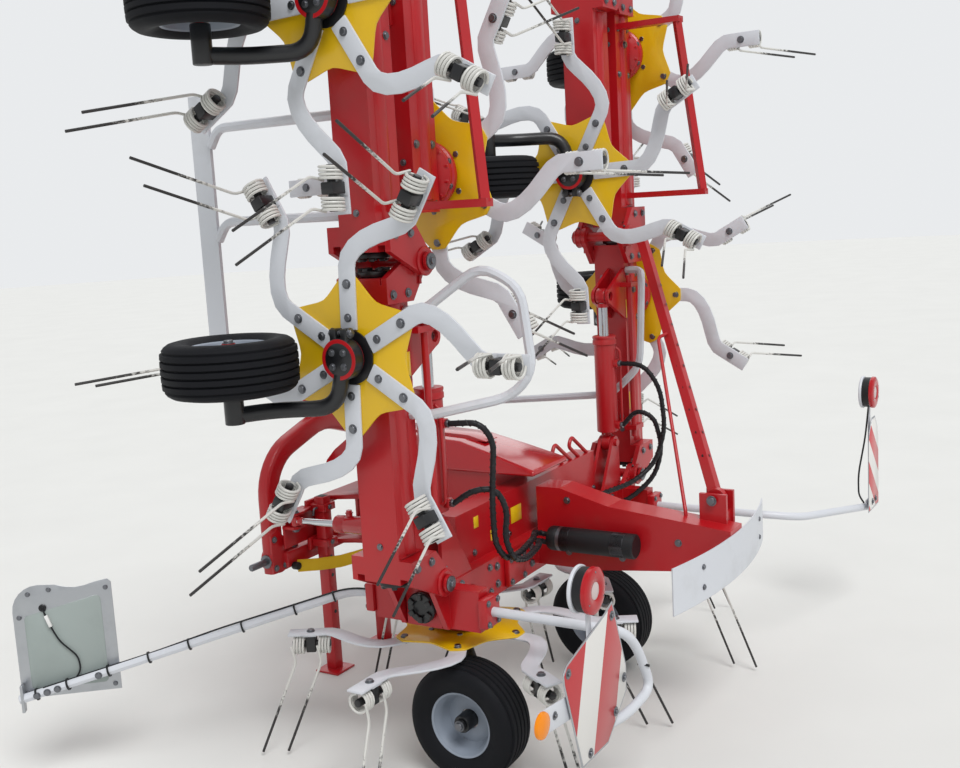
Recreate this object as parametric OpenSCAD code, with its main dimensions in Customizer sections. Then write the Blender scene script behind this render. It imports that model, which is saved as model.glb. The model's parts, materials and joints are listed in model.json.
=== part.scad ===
/* [Rotor spacing] */
// Distance between neighbouring rotor axes
rotor_gap = 1050; // [1000:5:1100]
// Distance from a rotor axis to the fold hinge outboard of it
hinge_out = 270; // [250:5:290]
// Height of the fold hinges above the ground, wheels down
hinge_z = 700; // [690:5:720]

/* [Rotor] */
// Height of the underside of the rotor plates above the ground
plate_z = 444; // [440:1:450]
// Thickness of a rotor plate
plate_t = 6; // [5:1:8]
// Radius of the six tips of a rotor plate
plate_tip_r = 248; // [235:1:255]
// Radius of the plate half way between two tips
plate_waist_r = 196; // [185:1:205]
// Radius of the bolt that holds the outer end of each arm on the plate
arm_bolt_r = 220; // [205:1:225]
// Radius of the inner arm bolt
arm_inner_r = 120; // [110:1:130]
// Width of a tine arm
arm_w = 60; // [50:1:64]
// Thickness of a tine arm
arm_t = 8; // [6:1:10]
// Angle that an arm sweeps from its bolt to its coils
arm_sweep = 29; // [20:1:32]
// Radius at the outer end of an arm
arm_end_r = 622; // [600:1:640]
// Bolt angle of the odd rotors on the right, from straight ahead
phase_odd = 28; // [20:1:35]
// Mesh angle between neighbouring rotors
mesh_angle = 30; // [28:1:32]

/* [Tines] */
// Outer radius of a tine coil
coil_r = 37; // [30:1:38]
// Length of a tine coil
coil_len = 52; // [44:1:56]
// Radius of the inner and the outer coil centre
coil_in_r = 497; // [490:1:505]
// Distance between the two coil centres of an arm
coil_step = 92; // [86:1:100]
// Radius of the tine wire
wire_r = 5; // [4:0.5:6]
// Height of the tine tips above the ground
tip_z = 14; // [10:1:30]
// Distance that a tine leans outward from its coil to its tip
tine_lean = 150; // [110:5:155]

/* [Wheels] */
// Outer radius of a tyre
tyre_r = 205; // [195:1:210]
// Width of a tyre
tyre_w = 165; // [150:1:170]
// Radius of the rim flange
rim_r = 110; // [104:1:114]
// Distance of an outer wheel ahead of its rotor axis
wheel_ahead = 270; // [255:5:275]
// Distance of a centre wheel to the left of its rotor axis
centre_wheel_x = 200; // [190:5:210]
// Distance of a centre wheel behind its rotor axis
centre_wheel_y = 140; // [120:5:150]
// Radius of a wheel axle
axle_r = 12.5; // [10:0.5:15]

/* [Beams] */
// Depth of the beams, fore and aft
beam_y = 140; // [120:5:150]
// Height of the beams
beam_h = 140; // [120:5:145]
// Drop from the hinge axis to the top of the beams
beam_drop = 40; // [36:1:46]
// Gap from the hinge axis to the end of each beam
beam_end = 40; // [36:1:50]
// Length of the outermost beam past its rotor axis
beam_tail = 120; // [100:5:140]

/* [Hinges] */
// Radius of the fold hinge pins
pin_r = 20; // [16:1:22]
// Thickness of the fork cheeks
cheek_t = 20; // [14:1:20]
// Radius of the bosses on the fork cheeks
boss_r = 44; // [38:1:45]

/* [Fold cylinders] */
// Barrel radius
barrel_r = 46; // [40:1:48]
// Rod radius
rod_r = 20; // [16:1:24]
// Distance of both cylinder pins inboard of the fold hinge
cyl_in = 105; // [95:5:110]
// Height of the lower pin above the fold hinge
cyl_low = 160; // [150:5:170]
// Distance of the upper pin from the fold hinge, along the section
cyl_high = 800; // [780:5:820]
// Distance of the cylinders behind the rotor line
cyl_back = 30; // [28:1:34]

/* [Headstock] */
// Distance of the swivel axis ahead of the rotor line
swivel_y = 680; // [670:5:690]
// Distance of the headstock arch ahead of the rotor line
arch_y = 1000; // [990:5:1010]
// Half of the width over the arch feet
arch_half = 420; // [415:1:425]
// Height of the lower hitch pins
hitch_z = 530; // [520:5:540]
// Height of the top link pin above the lower hitch pins
top_link_h = 610; // [605:1:615]
// Radius of the lower hitch pins
hitch_pin_r = 14; // [14:0.05:14.1]
// Radius of the top link bore
top_bore_r = 12.9; // [12.8:0.05:13]
// Radius of the drive input shaft
pto_r = 17.45; // [17.4:0.05:17.5]

/* [Warning boards] */
// Width and height of a warning board
board_w = 423; // [380:1:423]
// Width of the narrow board at the rear right
board_narrow = 200; // [140:5:220]
// Thickness of the board plates
board_t = 3; // [2:0.5:4]
// Outer radius of the board tubes
tube_r = 16; // [14:1:18]

/* [Hidden] */

$fn = 48;
e = 1;
run_gap = 0.1;
seat_gap = 0.3;
clear = 5;
red = [0.77, 0.09, 0.12];
yellow = [0.88, 0.70, 0.0];
white = [0.82, 0.83, 0.85];
black = [0.08, 0.08, 0.09];
cream = [0.85, 0.82, 0.77];
rubber = [0.08, 0.09, 0.10];
chrome = [0.80, 0.81, 0.83];
LEFT = -1;
RIGHT = 1;

rotor_x = [for (i = [0:3]) rotor_gap * (i + 0.5)];
hinge_x = [for (i = [0:2]) rotor_x[i] + hinge_out];
beam_top = hinge_z - beam_drop;
beam_low = beam_top - beam_h;
beam_mid = beam_top - beam_h / 2;
half_y = beam_y / 2;

fork_gap = 5;
fork_in = half_y + fork_gap;
tongue_in = fork_in + cheek_t + 3;
tongue_out = tongue_in + cheek_t;
pin_half = tongue_out + 12;
cheek_root = 120;
spacer_from = 60;

dome_r = 105;
hub_r = 72;
hub_h = 14;
spindle_r = 40;
clamp_r = 62;
clamp_top = plate_z - arm_t - 12;
clamp_h = 44;
leg_r = 24;
leg_top = clamp_top - clamp_h / 2;
leg_side = 150;
centre_leg_x = 78;
coil_z = plate_z - arm_t - coil_r - 1;

// Places a piece drawn in the working position of section n on its folded place
module fold(n) {
    turn = n == 1 ? 0 : -90;
    translate([hinge_x[0], 0, hinge_z]) rotate([0, turn, 0]) translate([-hinge_x[0], 0, -hinge_z])
        translate([hinge_x[2], 0, hinge_z]) rotate([0, n == 4 ? -180 : 0, 0])
            translate([-hinge_x[2], 0, -hinge_z]) children();
}

module on_side(side) {
    mirror([side == LEFT ? 1 : 0, 0, 0]) children();
}

// A bar from a to b with a polygon or round section
module rod(a, b, r, sides = 8) {
    d = b - a;
    len = norm(d);
    translate(a) rotate([0, acos(d[2] / len), atan2(d[1], d[0])])
        cylinder(r = r, h = len, $fn = sides);
}

// Stations along a path whose corners are rounded over the given length
bend_steps = 4;
function bend(points, over) = concat([points[0]], [for (i = [1:len(points) - 2])
    let (p = points[i], to_a = points[i - 1] - p, to_b = points[i + 1] - p,
        cut = min(over, norm(to_a) / 2 - 1, norm(to_b) / 2 - 1),
        a = p + to_a / norm(to_a) * cut, b = p + to_b / norm(to_b) * cut)
    for (k = [0:bend_steps]) let (u = k / bend_steps)
        (1 - u) * (1 - u) * a + 2 * u * (1 - u) * p + u * u * b], [points[len(points) - 1]]);

function unit(v) = v / norm(v);

// Bent round tube; facing is a direction that no part of the path follows
module tube_path(points, r, facing = [0, 0, 1], over = 60, sides = 8) {
    path = bend(points, over);
    last = len(path) - 1;
    rings = [for (i = [0:last])
        let (along = unit(path[min(i + 1, last)] - path[max(i - 1, 0)]),
            side = unit(cross(along, facing)), up = cross(side, along))
        for (k = [0:sides - 1])
            path[i] + r * (side * cos(360 * k / sides) + up * sin(360 * k / sides))];
    walls = [for (i = [0:last - 1]) for (k = [0:sides - 1])
        let (a = i * sides + k, b = i * sides + (k + 1) % sides)
        each [[a, b, b + sides], [a, b + sides, a + sides]]];
    start_cap = [for (k = [sides - 1:-1:0]) k];
    end_cap = [for (k = [0:sides - 1]) last * sides + k];
    polyhedron(rings, concat(walls, [start_cap, end_cap]));
}

// Point near the rim of a circle at the origin where the side of a lug from p runs into it
lug_bite = 1;
function touch(p, r, turn) = let (in = r - lug_bite, a = atan2(p[1], p[0]) + turn * acos(in / norm(p)))
    [in * cos(a), in * sin(a)];

// Plate that runs from a flat base up to a round eye
module lug_outline(from, to, rise, r) {
    left = touch([from, -rise], r, -1);
    right = touch([to, -rise], r, 1);
    circle(r = r);
    polygon([[from, -rise - 2], [to, -rise - 2], [to, -rise], right, [0, 0], left, [from, -rise]]);
}

module lug_y(from, to, rise, r, t, at) {
    translate([at[0], at[1] + t / 2, at[2]]) rotate([90, 0, 0]) linear_extrude(t)
        lug_outline(from, to, rise, r);
}

module box(low, high) {
    translate(low) cube(high - low);
}

// Cylinder along Y, centred on its length
module bar_y(r, len, at) {
    translate(at) rotate([90, 0, 0]) cylinder(r = r, h = len, center = true);
}

module bar_x(r, from, to, y, z) {
    translate([from, y, z]) rotate([0, 90, 0]) cylinder(r = r, h = to - from);
}

// Rotor plate

module plate_outline() {
    polygon([for (k = [0:11]) let (r = k % 2 == 0 ? plate_tip_r : plate_waist_r)
        each (k % 2 == 0
            ? [[r * cos(k * 30 - 7), r * sin(k * 30 - 7)], [r * cos(k * 30 + 7), r * sin(k * 30 + 7)]]
            : [[r * cos(k * 30), r * sin(k * 30)]])]);
}

module rotor_plate_at(bolt_angle) {
    rotate([0, 0, bolt_angle]) difference() {
        union() {
            translate([0, 0, plate_z]) linear_extrude(plate_t) plate_outline();
            translate([0, 0, plate_z]) cylinder(r = hub_r, h = hub_h);
            for (k = [0:5], r = [arm_inner_r, arm_bolt_r]) rotate([0, 0, 60 * k])
                translate([r, 0, plate_z + plate_t - e]) cylinder(r = 11, h = 8, $fn = 6);
        }
        translate([0, 0, plate_z - e]) cylinder(r = spindle_r + run_gap, h = hub_h + 2 * e);
    }
}

// Tine arms

function smooth(t) = let (u = min(max(t, 0), 1)) u * u * (3 - 2 * u);
arm_start_r = 84;
arm_bend_from = 275;
arm_bend_to = 480;
function arm_angle(r) = arm_sweep * smooth((r - arm_bend_from) / (arm_bend_to - arm_bend_from));
arm_steps = 10;
function arm_side(s) = [for (i = [0:arm_steps])
    let (r = i == 0 ? arm_start_r : arm_bend_from - 30
            + (arm_end_r - arm_bend_from + 30) * (i - 1) / (arm_steps - 1),
        a = arm_angle(r), slope = (arm_angle(r + 1) - a) * PI / 180 * r,
        n = [-slope, 1] / norm([-slope, 1]))
    [(r + s * n[0] * arm_w / 2) * cos(a) - s * n[1] * arm_w / 2 * sin(a),
        (r + s * n[0] * arm_w / 2) * sin(a) + s * n[1] * arm_w / 2 * cos(a)]];

module arm_outline() {
    right_side = arm_side(-1);
    left_side = arm_side(1);
    polygon(concat(right_side, [for (i = [arm_steps:-1:0]) left_side[i]]));
}

module tine(r) {
    knee_drop = 60;
    rod([r, -coil_r + wire_r, coil_z], [r + 6, -coil_r + wire_r, coil_z - knee_drop], wire_r, 6);
    rod([r + 6, -coil_r + wire_r, coil_z - knee_drop],
        [r + tine_lean, -coil_r + wire_r - 20, tip_z + wire_r], wire_r, 6);
}

module coil(r) {
    translate([r - coil_len / 2, 0, coil_z]) rotate([0, 90, 0])
        cylinder(r = coil_r, h = coil_len, $fn = 12);
}

module coil_clamp() {
    bar_x(coil_r - 14, coil_in_r - coil_len / 2 - 4, coil_in_r + coil_step + coil_len / 2 + 6, 0, coil_z);
    box([coil_in_r + coil_len / 2 + 2, -20, coil_z],
        [coil_in_r + coil_step - coil_len / 2 - 2, 20, plate_z - arm_t + e]);
}

module tine_arms_at(bolt_angle, sweep) {
    rotate([0, 0, bolt_angle]) mirror([0, sweep < 0 ? 1 : 0, 0]) for (k = [0:5]) rotate([0, 0, 60 * k]) {
        translate([0, 0, plate_z - arm_t]) linear_extrude(arm_t) arm_outline();
        rotate([0, 0, arm_sweep]) {
            coil_clamp();
            for (r = [coil_in_r, coil_in_r + coil_step]) {
                coil(r);
                tine(r);
            }
        }
    }
}

function odd(n) = n % 2 == 1;
function phase(n, side) = side == RIGHT
    ? (odd(n) ? phase_odd : mesh_angle - phase_odd)
    : (odd(n) ? phase_odd - mesh_angle : 2 * mesh_angle - phase_odd);

module rotor_place(n, side) {
    on_side(side) fold(n) translate([rotor_x[n - 1], 0, 0]) children();
}

module rotor_plate(n, side) {
    color(yellow) rotor_place(n, side) rotor_plate_at(90 - phase(n, side));
}

module tine_arms(n, side) {
    color(white) rotor_place(n, side) tine_arms_at(90 - phase(n, side), odd(n) ? 1 : -1);
}

// Wheels

hub_half = 60;
rim_in = 55;
module wheel_solid() {
    rotate([0, 90, 0]) difference() {
        union() {
            rotate_extrude($fn = 64) polygon([
                [rim_r, -tyre_w / 2 + 22], [tyre_r - 45, -tyre_w / 2], [tyre_r - 14, -tyre_w / 2 + 10],
                [tyre_r, -tyre_w / 2 + 34], [tyre_r, tyre_w / 2 - 34], [tyre_r - 14, tyre_w / 2 - 10],
                [tyre_r - 45, tyre_w / 2], [rim_r, tyre_w / 2 - 22]]);
            rotate_extrude($fn = 64) polygon([
                [0, -8], [rim_in, -8], [rim_in + 14, -tyre_w / 2 + 30], [rim_r + e, -tyre_w / 2 + 24],
                [rim_r + e, tyre_w / 2 - 24], [rim_in + 14, tyre_w / 2 - 30], [rim_in, 8], [0, 8]]);
            cylinder(r = 30, h = 2 * hub_half, center = true);
        }
        cylinder(r = axle_r + run_gap, h = 2 * hub_half + 2, center = true);
    }
}

module wheel(n, side) {
    color(rubber)
        if (n == 1)
            translate([side * rotor_x[0] - centre_wheel_x, -centre_wheel_y, tyre_r]) wheel_solid();
        else
            rotor_place(n, side) translate([0, wheel_ahead, tyre_r]) wheel_solid();
}

// Legs that carry the wheels

module hub_clamp() {
    translate([0, 0, clamp_top - clamp_h]) cylinder(r = clamp_r, h = clamp_h);
}

module outer_leg() {
    knee_y = wheel_ahead - 60;
    tube_path([[0, 0, leg_top], [-leg_side, 30, leg_top], [-leg_side, knee_y, leg_top - 90],
        [-leg_side, wheel_ahead, tyre_r]], leg_r, facing = [1, 0, 0.1], over = 70, sides = 12);
    bar_x(leg_r + 4, -leg_side - leg_r, -hub_half - 2, wheel_ahead, tyre_r);
    bar_x(axle_r, -hub_half - 3, hub_half + 2, wheel_ahead, tyre_r);
    bar_x(axle_r + 8, hub_half + 1, hub_half + 9, wheel_ahead, tyre_r);
}

module centre_leg() {
    tube_path([[0, 0, leg_top], [-centre_leg_x + 10, -60, leg_top - 30],
        [-centre_leg_x, -centre_wheel_y, tyre_r]], leg_r, facing = [1, -1, 0.2], over = 70, sides = 12);
    end = -centre_wheel_x + hub_half + 2;
    bar_x(leg_r + 4, end - 1, leg_r - centre_leg_x, -centre_wheel_y, tyre_r);
    bar_x(axle_r, -centre_wheel_x - hub_half - 2, end, -centre_wheel_y, tyre_r);
    bar_x(axle_r + 8, -centre_wheel_x - hub_half - 9, -centre_wheel_x - hub_half - 1, -centre_wheel_y, tyre_r);
}

module spindle(top) {
    low = clamp_top - clamp_h;
    translate([0, 0, low]) cylinder(r = spindle_r, h = top - low);
}

module gear_dome() {
    low = plate_z + hub_h + clear;
    rotate_extrude() polygon([[0, low], [dome_r, low], [dome_r, beam_low - 20],
        [half_y - 4, beam_low + e], [0, beam_low + e]]);
}

module centre_legs() {
    color(black) for (side = [LEFT, RIGHT]) translate([side * rotor_x[0], 0, 0]) {
        spindle(beam_low);
        hub_clamp();
        centre_leg();
    }
}

// Hinge parts, drawn about the hinge axis with the outboard side at +X

module cheek_outline() {
    low = -beam_drop - beam_h;
    circle(r = boss_r);
    polygon([[-cheek_root, -beam_drop], [-cheek_root, low], [-beam_end, low],
        touch([-beam_end, low], boss_r, 1), [0, 0], touch([-cheek_root, -beam_drop], boss_r, -1)]);
}

module cheek(y) {
    translate([0, y + cheek_t / 2, 0]) rotate([90, 0, 0]) linear_extrude(cheek_t) cheek_outline();
}

module fork() {
    for (s = [-1, 1]) {
        cheek(s * (fork_in + cheek_t / 2));
        box([-cheek_root, min(s * half_y, s * fork_in) - e, -beam_drop - beam_h],
            [-cheek_root + 60, max(s * half_y, s * fork_in) + e, -beam_drop]);
    }
    bar_y(pin_r, 2 * pin_half, [0, 0, 0]);
    for (s = [-1, 1]) bar_y(pin_r + 10, 10, [0, s * (pin_half + 5), 0]);
}

module tongue() {
    difference() {
        union() for (s = [-1, 1]) {
            mirror([1, 0, 0]) cheek(s * (tongue_in + cheek_t / 2));
            box([spacer_from, min(s * (half_y - e), s * (tongue_in + e)), -beam_drop - beam_h],
                [cheek_root, max(s * (half_y - e), s * (tongue_in + e)), -beam_drop]);
        }
        bar_y(pin_r + run_gap, 2 * pin_half + 40, [0, 0, 0]);
    }
}

module beam(from, to) {
    box([from, -half_y, beam_low], [to, half_y, beam_top]);
}

// Sections that fold

cyl_eye_w = 40;
bracket_t = 14;
module upper_cylinder_bracket() {
    for (s = [-1, 1]) difference() {
        lug_y(-110, 110, cyl_in + beam_drop, 34, bracket_t,
            [hinge_x[0] + cyl_high, -cyl_back + s * (cyl_eye_w / 2 + clear + bracket_t / 2), hinge_z + cyl_in]);
        bar_y(pin_r, 100, [hinge_x[0] + cyl_high, -cyl_back, hinge_z + cyl_in]);
    }
}

rod_off = half_y + 34;
module control_rod(from, to, z) {
    rod([from, -rod_off, z], [to, -rod_off, z], 12, 24);
    for (x = [from + 40, to - 40])
        box([x - 10, -rod_off - 20, beam_top - 30], [x + 10, -half_y + e, z + 20]);
}

lever_low_y = 414;
lever_high_y = 335;
module fold_lever() {
    from = hinge_x[1] + 170;
    to = hinge_x[2] - 170;
    box([from - 12, -lever_low_y - 16, beam_mid - 20], [from + 12, -half_y + e, beam_mid + 20]);
    rod([from, -lever_low_y, beam_mid], [to, -lever_high_y, beam_mid + 40], 20, 4);
    box([to - 12, -lever_high_y - 16, beam_mid + 10], [to + 12, -half_y + e, beam_mid + 60]);
}

module outer_rotor_carrier(n) {
    translate([rotor_x[n - 1], 0, 0]) {
        spindle(beam_low + e);
        gear_dome();
        hub_clamp();
        outer_leg();
    }
}

module section_2(side) {
    color(red) on_side(side) fold(2) {
        beam(hinge_x[0] + beam_end, hinge_x[1] - beam_end);
        translate([hinge_x[0], 0, hinge_z]) tongue();
        translate([hinge_x[1], 0, hinge_z]) fork();
        outer_rotor_carrier(2);
        upper_cylinder_bracket();
        control_rod(hinge_x[0] + 170, hinge_x[1] - 170, hinge_z - 8);
    }
}

module section_3(side) {
    color(red) on_side(side) fold(3) {
        beam(hinge_x[1] + beam_end, hinge_x[2] - beam_end);
        translate([hinge_x[1], 0, hinge_z]) tongue();
        translate([hinge_x[2], 0, hinge_z]) fork();
        outer_rotor_carrier(3);
        fold_lever();
    }
}

module section_4(side) {
    color(red) on_side(side) fold(4) {
        beam(hinge_x[2] + beam_end, rotor_x[3] + beam_tail);
        translate([hinge_x[2], 0, hinge_z]) tongue();
        outer_rotor_carrier(4);
    }
}

// Fold cylinders, upright beside the folded sections

cyl_x = hinge_x[0] - cyl_in;
cyl_z0 = hinge_z + cyl_low;
cyl_z1 = hinge_z + cyl_high;
barrel_from = 48;
barrel_len = 412;
module fold_barrel(side) {
    color(red) on_side(side) difference() {
        union() {
            bar_y(36, cyl_eye_w, [cyl_x, -cyl_back, cyl_z0]);
            translate([cyl_x, -cyl_back, cyl_z0]) cylinder(r = 18, h = barrel_from + 1);
            translate([cyl_x, -cyl_back, cyl_z0 + barrel_from]) cylinder(r = barrel_r, h = barrel_len);
            translate([cyl_x, -cyl_back, cyl_z0 + barrel_from + barrel_len - 30])
                cylinder(r = barrel_r + 5, h = 40);
        }
        bar_y(pin_r - 4 + run_gap, cyl_eye_w + 2, [cyl_x, -cyl_back, cyl_z0]);
        translate([cyl_x, -cyl_back, cyl_z0 + barrel_from + 12]) cylinder(r = rod_r + run_gap, h = barrel_len);
    }
}

module fold_rod(side) {
    color(chrome) on_side(side) {
        translate([cyl_x, -cyl_back, cyl_z0 + 62]) cylinder(r = rod_r, h = cyl_z1 - cyl_z0 - 62 - 20);
        bar_y(34, cyl_eye_w, [cyl_x, -cyl_back, cyl_z1]);
        bar_y(pin_r - 4, cyl_eye_w + 2 * clear - 2, [cyl_x, -cyl_back, cyl_z1]);
    }
}

module lower_cylinder_bracket() {
    for (s = [-1, 1])
        lug_y(-150, 40, cyl_z0 - beam_top, 30, bracket_t,
            [cyl_x, -cyl_back + s * (cyl_eye_w / 2 + 1 + bracket_t / 2), cyl_z0]);
    bar_y(pin_r - 4, cyl_eye_w + 2 + 2 * bracket_t + 20, [cyl_x, -cyl_back, cyl_z0]);
}

// Centre frame

neck_half = 150;
neck_t = 20;
neck_low = 560;
neck_high = 720;
neck_end = swivel_y - 20;
swivel_r = 30;
swivel_boss_r = 60;
module neck() {
    for (s = [-1, 1]) translate([s > 0 ? neck_half - neck_t : -neck_half, 0, 0]) rotate([90, 0, 90])
        linear_extrude(neck_t) polygon([[half_y - e, neck_low], [neck_end, neck_low], [neck_end, neck_high],
            [half_y + 260, neck_high + 20], [half_y - e, neck_high + 80]]);
    difference() {
        union() {
            box([-neck_half + e, neck_end - 100, neck_low + 20], [neck_half - e, neck_end, neck_high - 20]);
            translate([0, swivel_y, neck_low]) cylinder(r = swivel_boss_r, h = neck_high - neck_low);
        }
        translate([0, swivel_y, neck_low - 1]) cylinder(r = swivel_r + run_gap, h = neck_high - neck_low + 2);
    }
}

damper_x = 265;
damper_y = 330;
damper_z = 690;
damper_pin_r = 10;
module damper_bracket(side) {
    for (z = [damper_z - 34, damper_z + 22])
        box([min(side * (neck_half - e), side * (damper_x + 30)), damper_y - 26, z],
            [max(side * (neck_half - e), side * (damper_x + 30)), damper_y + 26, z + 12]);
    translate([side * damper_x, damper_y, damper_z - 33]) cylinder(r = damper_pin_r, h = 66);
}

upper_half = 560;
upper_z = 850;
module centre_frame() {
    color(red) {
        box([-hinge_x[0] + beam_end, -half_y, beam_low], [hinge_x[0] - beam_end, half_y, beam_top]);
        for (side = [LEFT, RIGHT]) {
            on_side(side) translate([hinge_x[0], 0, hinge_z]) fork();
            on_side(side) lower_cylinder_bracket();
            translate([side * rotor_x[0], 0, 0]) difference() {
                gear_dome();
                translate([0, 0, plate_z]) cylinder(r = spindle_r + seat_gap, h = beam_low - plate_z);
            }
            damper_bracket(side);
            on_side(side) board_bracket();
        }
        neck();
        box([-upper_half, -20, beam_top - e], [upper_half, half_y, upper_z]);
    }
}

rear_len = 835;
rear_half = 60;
rear_root_z = 845;
rear_end_z = 740;
brace_low = [60, 90 - rear_len, 820];
brace_high = [hinge_x[0], -pin_half - 42, hinge_z + rotor_gap];
brace_wide = 26;
module rear_beam() {
    color(red) {
        rotate([90, 0, 90]) translate([0, 0, -rear_half]) linear_extrude(2 * rear_half)
            polygon([[-half_y, beam_low + 20], [-half_y, rear_root_z], [-half_y - 100, rear_root_z],
                [-half_y - 300, rear_root_z - 55], [-rear_len, rear_end_z], [-rear_len, beam_low + 75],
                [-half_y - 240, beam_low + 20]]);
        for (s = [-1, 1])
            box([brace_low[0] + s * 38 - 8, brace_low[1] - 50, beam_top + 20], [brace_low[0] + s * 38 + 8,
                brace_low[1] + 50, brace_low[2] + 30]);
        box([brace_low[0] - 38, brace_low[1] - 40, beam_top + 20],
            [brace_low[0] + 38, brace_low[1] + 40, brace_low[2] - 40]);
        rod(brace_low, brace_high, brace_wide, 4);
        bar_x(12, brace_low[0] - 56, brace_low[0] + 56, brace_low[1], brace_low[2] + 8);
    }
}

gear_half = 128;
gear_low = 745;
gear_high = 900;
pto_z = 820;
pto_from = half_y + 320;
pto_len = 90;
module gearbox() {
    color(red) {
        box([-gear_half, half_y, gear_low], [gear_half, half_y + 260, gear_high]);
        translate([0, half_y + 259, pto_z]) rotate([-90, 0, 0])
            cylinder(r = 70, h = pto_from - half_y - 259 + e);
        translate([0, pto_from, pto_z]) rotate([-90, 0, 0]) cylinder(r = pto_r, h = pto_len);
    }
}

hood_half = 145;
hood_t = 6;
hood_y0 = -110;
hood_y1 = 880;
hood_top = 1035;
module hood_side_outline() {
    polygon([[hood_y0, gear_high + seat_gap], [hood_y0, gear_high + 20], [hood_y0 + 340, hood_top - 20],
        [hood_y1 - 220, hood_top], [hood_y1 - 90, hood_top - 45], [hood_y1, gear_high],
        [hood_y1, gear_high - 40], [hood_y1 - 160, gear_high - 10], [half_y + 262, gear_high + seat_gap]]);
}

module hood() {
    color(red) {
        difference() {
            rotate([90, 0, 90]) linear_extrude(2 * hood_half, center = true) hood_side_outline();
            rotate([90, 0, 90]) linear_extrude(2 * hood_half - 2 * hood_t, center = true)
                translate([0, -hood_t]) hood_side_outline();
        }
        for (y = [half_y + 20, half_y + 180]) {
            box([1 - hood_half, y, gear_high + 12], [hood_half - 1, y + 40, gear_high + 20]);
            box([-110, y + 4, gear_high + seat_gap], [110, y + 36, gear_high + 13]);
        }
    }
}

plate_r = 1900;
plate_half = 470;
plate_low = 565;
plate_high = 725;
module rear_plate() {
    turn = asin(plate_half / plate_r);
    centre = sqrt(plate_r * plate_r - rear_half * rear_half) - rear_len - seat_gap;
    color(white) translate([0, centre, plate_low]) rotate([0, 0, -90 - turn])
        rotate_extrude(angle = 2 * turn, $fn = 96)
            translate([plate_r, 0]) square([4.7, plate_high - plate_low]);
}

can_r = 46;
module canister() {
    color(black) translate([-rear_half - can_r - 4, -half_y - 430, beam_mid + 75]) {
        rotate([-90, 0, 0]) cylinder(r = can_r, h = 350);
        box([can_r - 3, 40, -16], [can_r + 4 - seat_gap, 90, 16]);
        box([can_r - 3, 260, -16], [can_r + 4 - seat_gap, 310, 16]);
    }
}

// Headstock

lug_t = 20;
arch_leg_t = 60;
arch_foot_r = 60;
top_z = hitch_z + top_link_h;
top_ahead = 70;
top_eye_r = 36;
module arch_outline() {
    difference() {
        hull() {
            for (s = [-1, 1]) translate([s * (arch_half - arch_foot_r), hitch_z]) circle(r = arch_foot_r);
            for (s = [-1, 1]) translate([s * (arch_half - 260), hitch_z + 270]) circle(r = 260);
            for (s = [-1, 1]) translate([s * 60, top_z - 130]) circle(r = 80);
        }
        hull() {
            translate([-arch_half + 130, hitch_z - 120]) square([2 * arch_half - 260, 40]);
            for (s = [-1, 1]) translate([s * (arch_half - 245), hitch_z + 240]) circle(r = 150);
            for (s = [-1, 1]) translate([s * 50, top_z - 200]) circle(r = 50);
        }
    }
}

stand_x = 180;
stand_y = 880;
stand_half = 25;
sleeve_t = 12;
plate_w = 230;
module stand_sleeve(side) {
    hole = stand_half + seat_gap;
    for (z = [hitch_z + 20, neck_high - 20]) difference() {
        on_side(side) box([stand_x - hole - sleeve_t, stand_y - hole - sleeve_t, z],
            [stand_x + hole + sleeve_t, arch_y - 79, z + 30]);
        box([side * stand_x - hole, stand_y - hole, z - 1], [side * stand_x + hole, stand_y + hole, z + 31]);
    }
}

module headstock() {
    color(red) {
        translate([0, arch_y + arch_leg_t / 2, 0]) rotate([90, 0, 0]) linear_extrude(arch_leg_t) arch_outline();
        box([-arch_half + 60, arch_y - 60, hitch_z - 50], [arch_half - 60, arch_y + 30 - e, hitch_z + 50]);
        for (z = [neck_low - clear - lug_t, neck_high + clear])
            hull() {
                translate([0, swivel_y, z]) cylinder(r = 56, h = lug_t);
                box([-140, arch_y - 62, z], [140, arch_y - 60, z + lug_t]);
            }
        box([-plate_w, arch_y - 80, hitch_z], [plate_w, arch_y - 59, neck_high + clear + lug_t]);
        translate([0, swivel_y, neck_low - clear - lug_t]) cylinder(r = swivel_r,
            h = neck_high - neck_low + 2 * (clear + lug_t));
        for (s = [-1, 1]) {
            stand_sleeve(s);
            on_side(s) {
                bar_x(hitch_pin_r + 14, arch_half - 20, arch_half + 2, arch_y, hitch_z);
                bar_x(hitch_pin_r, arch_half - 20, arch_half + 90, arch_y, hitch_z);
            }
            difference() {
                hull() {
                    bar_x(top_eye_r, s * 34 - 8, s * 34 + 8, arch_y + top_ahead, top_z);
                    box([s * 34 - 8, arch_y, top_z - 100], [s * 34 + 8, arch_y + 20, top_z + 35]);
                }
                bar_x(top_bore_r, s * 34 - 10, s * 34 + 10, arch_y + top_ahead, top_z);
            }
            on_side(s) {
                for (z = [damper_z - 34, damper_z + 22])
                    box([plate_w - 5, damper_front_y - 20, z], [365, arch_y - 50, z + 12]);
                box([130, arch_y - 61, hitch_z + 40], [365, arch_y - 50, damper_z + 34]);
            }
        }
    }
}

module stand(side) {
    color(red) {
        box([side * stand_x - stand_half, stand_y - stand_half, 8],
            [side * stand_x + stand_half, stand_y + stand_half, neck_high + 40]);
        box([side * stand_x - 60, stand_y - 60, 0], [side * stand_x + 60, stand_y + 60, 10]);
    }
}

damper_front_x = 335;
damper_front_y = 900;
damper_barrel_r = 36;
damper_barrel_len = 340;
damper_rod_r = 14;
module damper_place(side) {
    on_side(side) translate([damper_x, damper_y, damper_z])
        rotate([0, 0, -atan2(damper_front_x - damper_x, damper_front_y - damper_y)])
            rotate([-90, 0, 0]) children();
}

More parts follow.
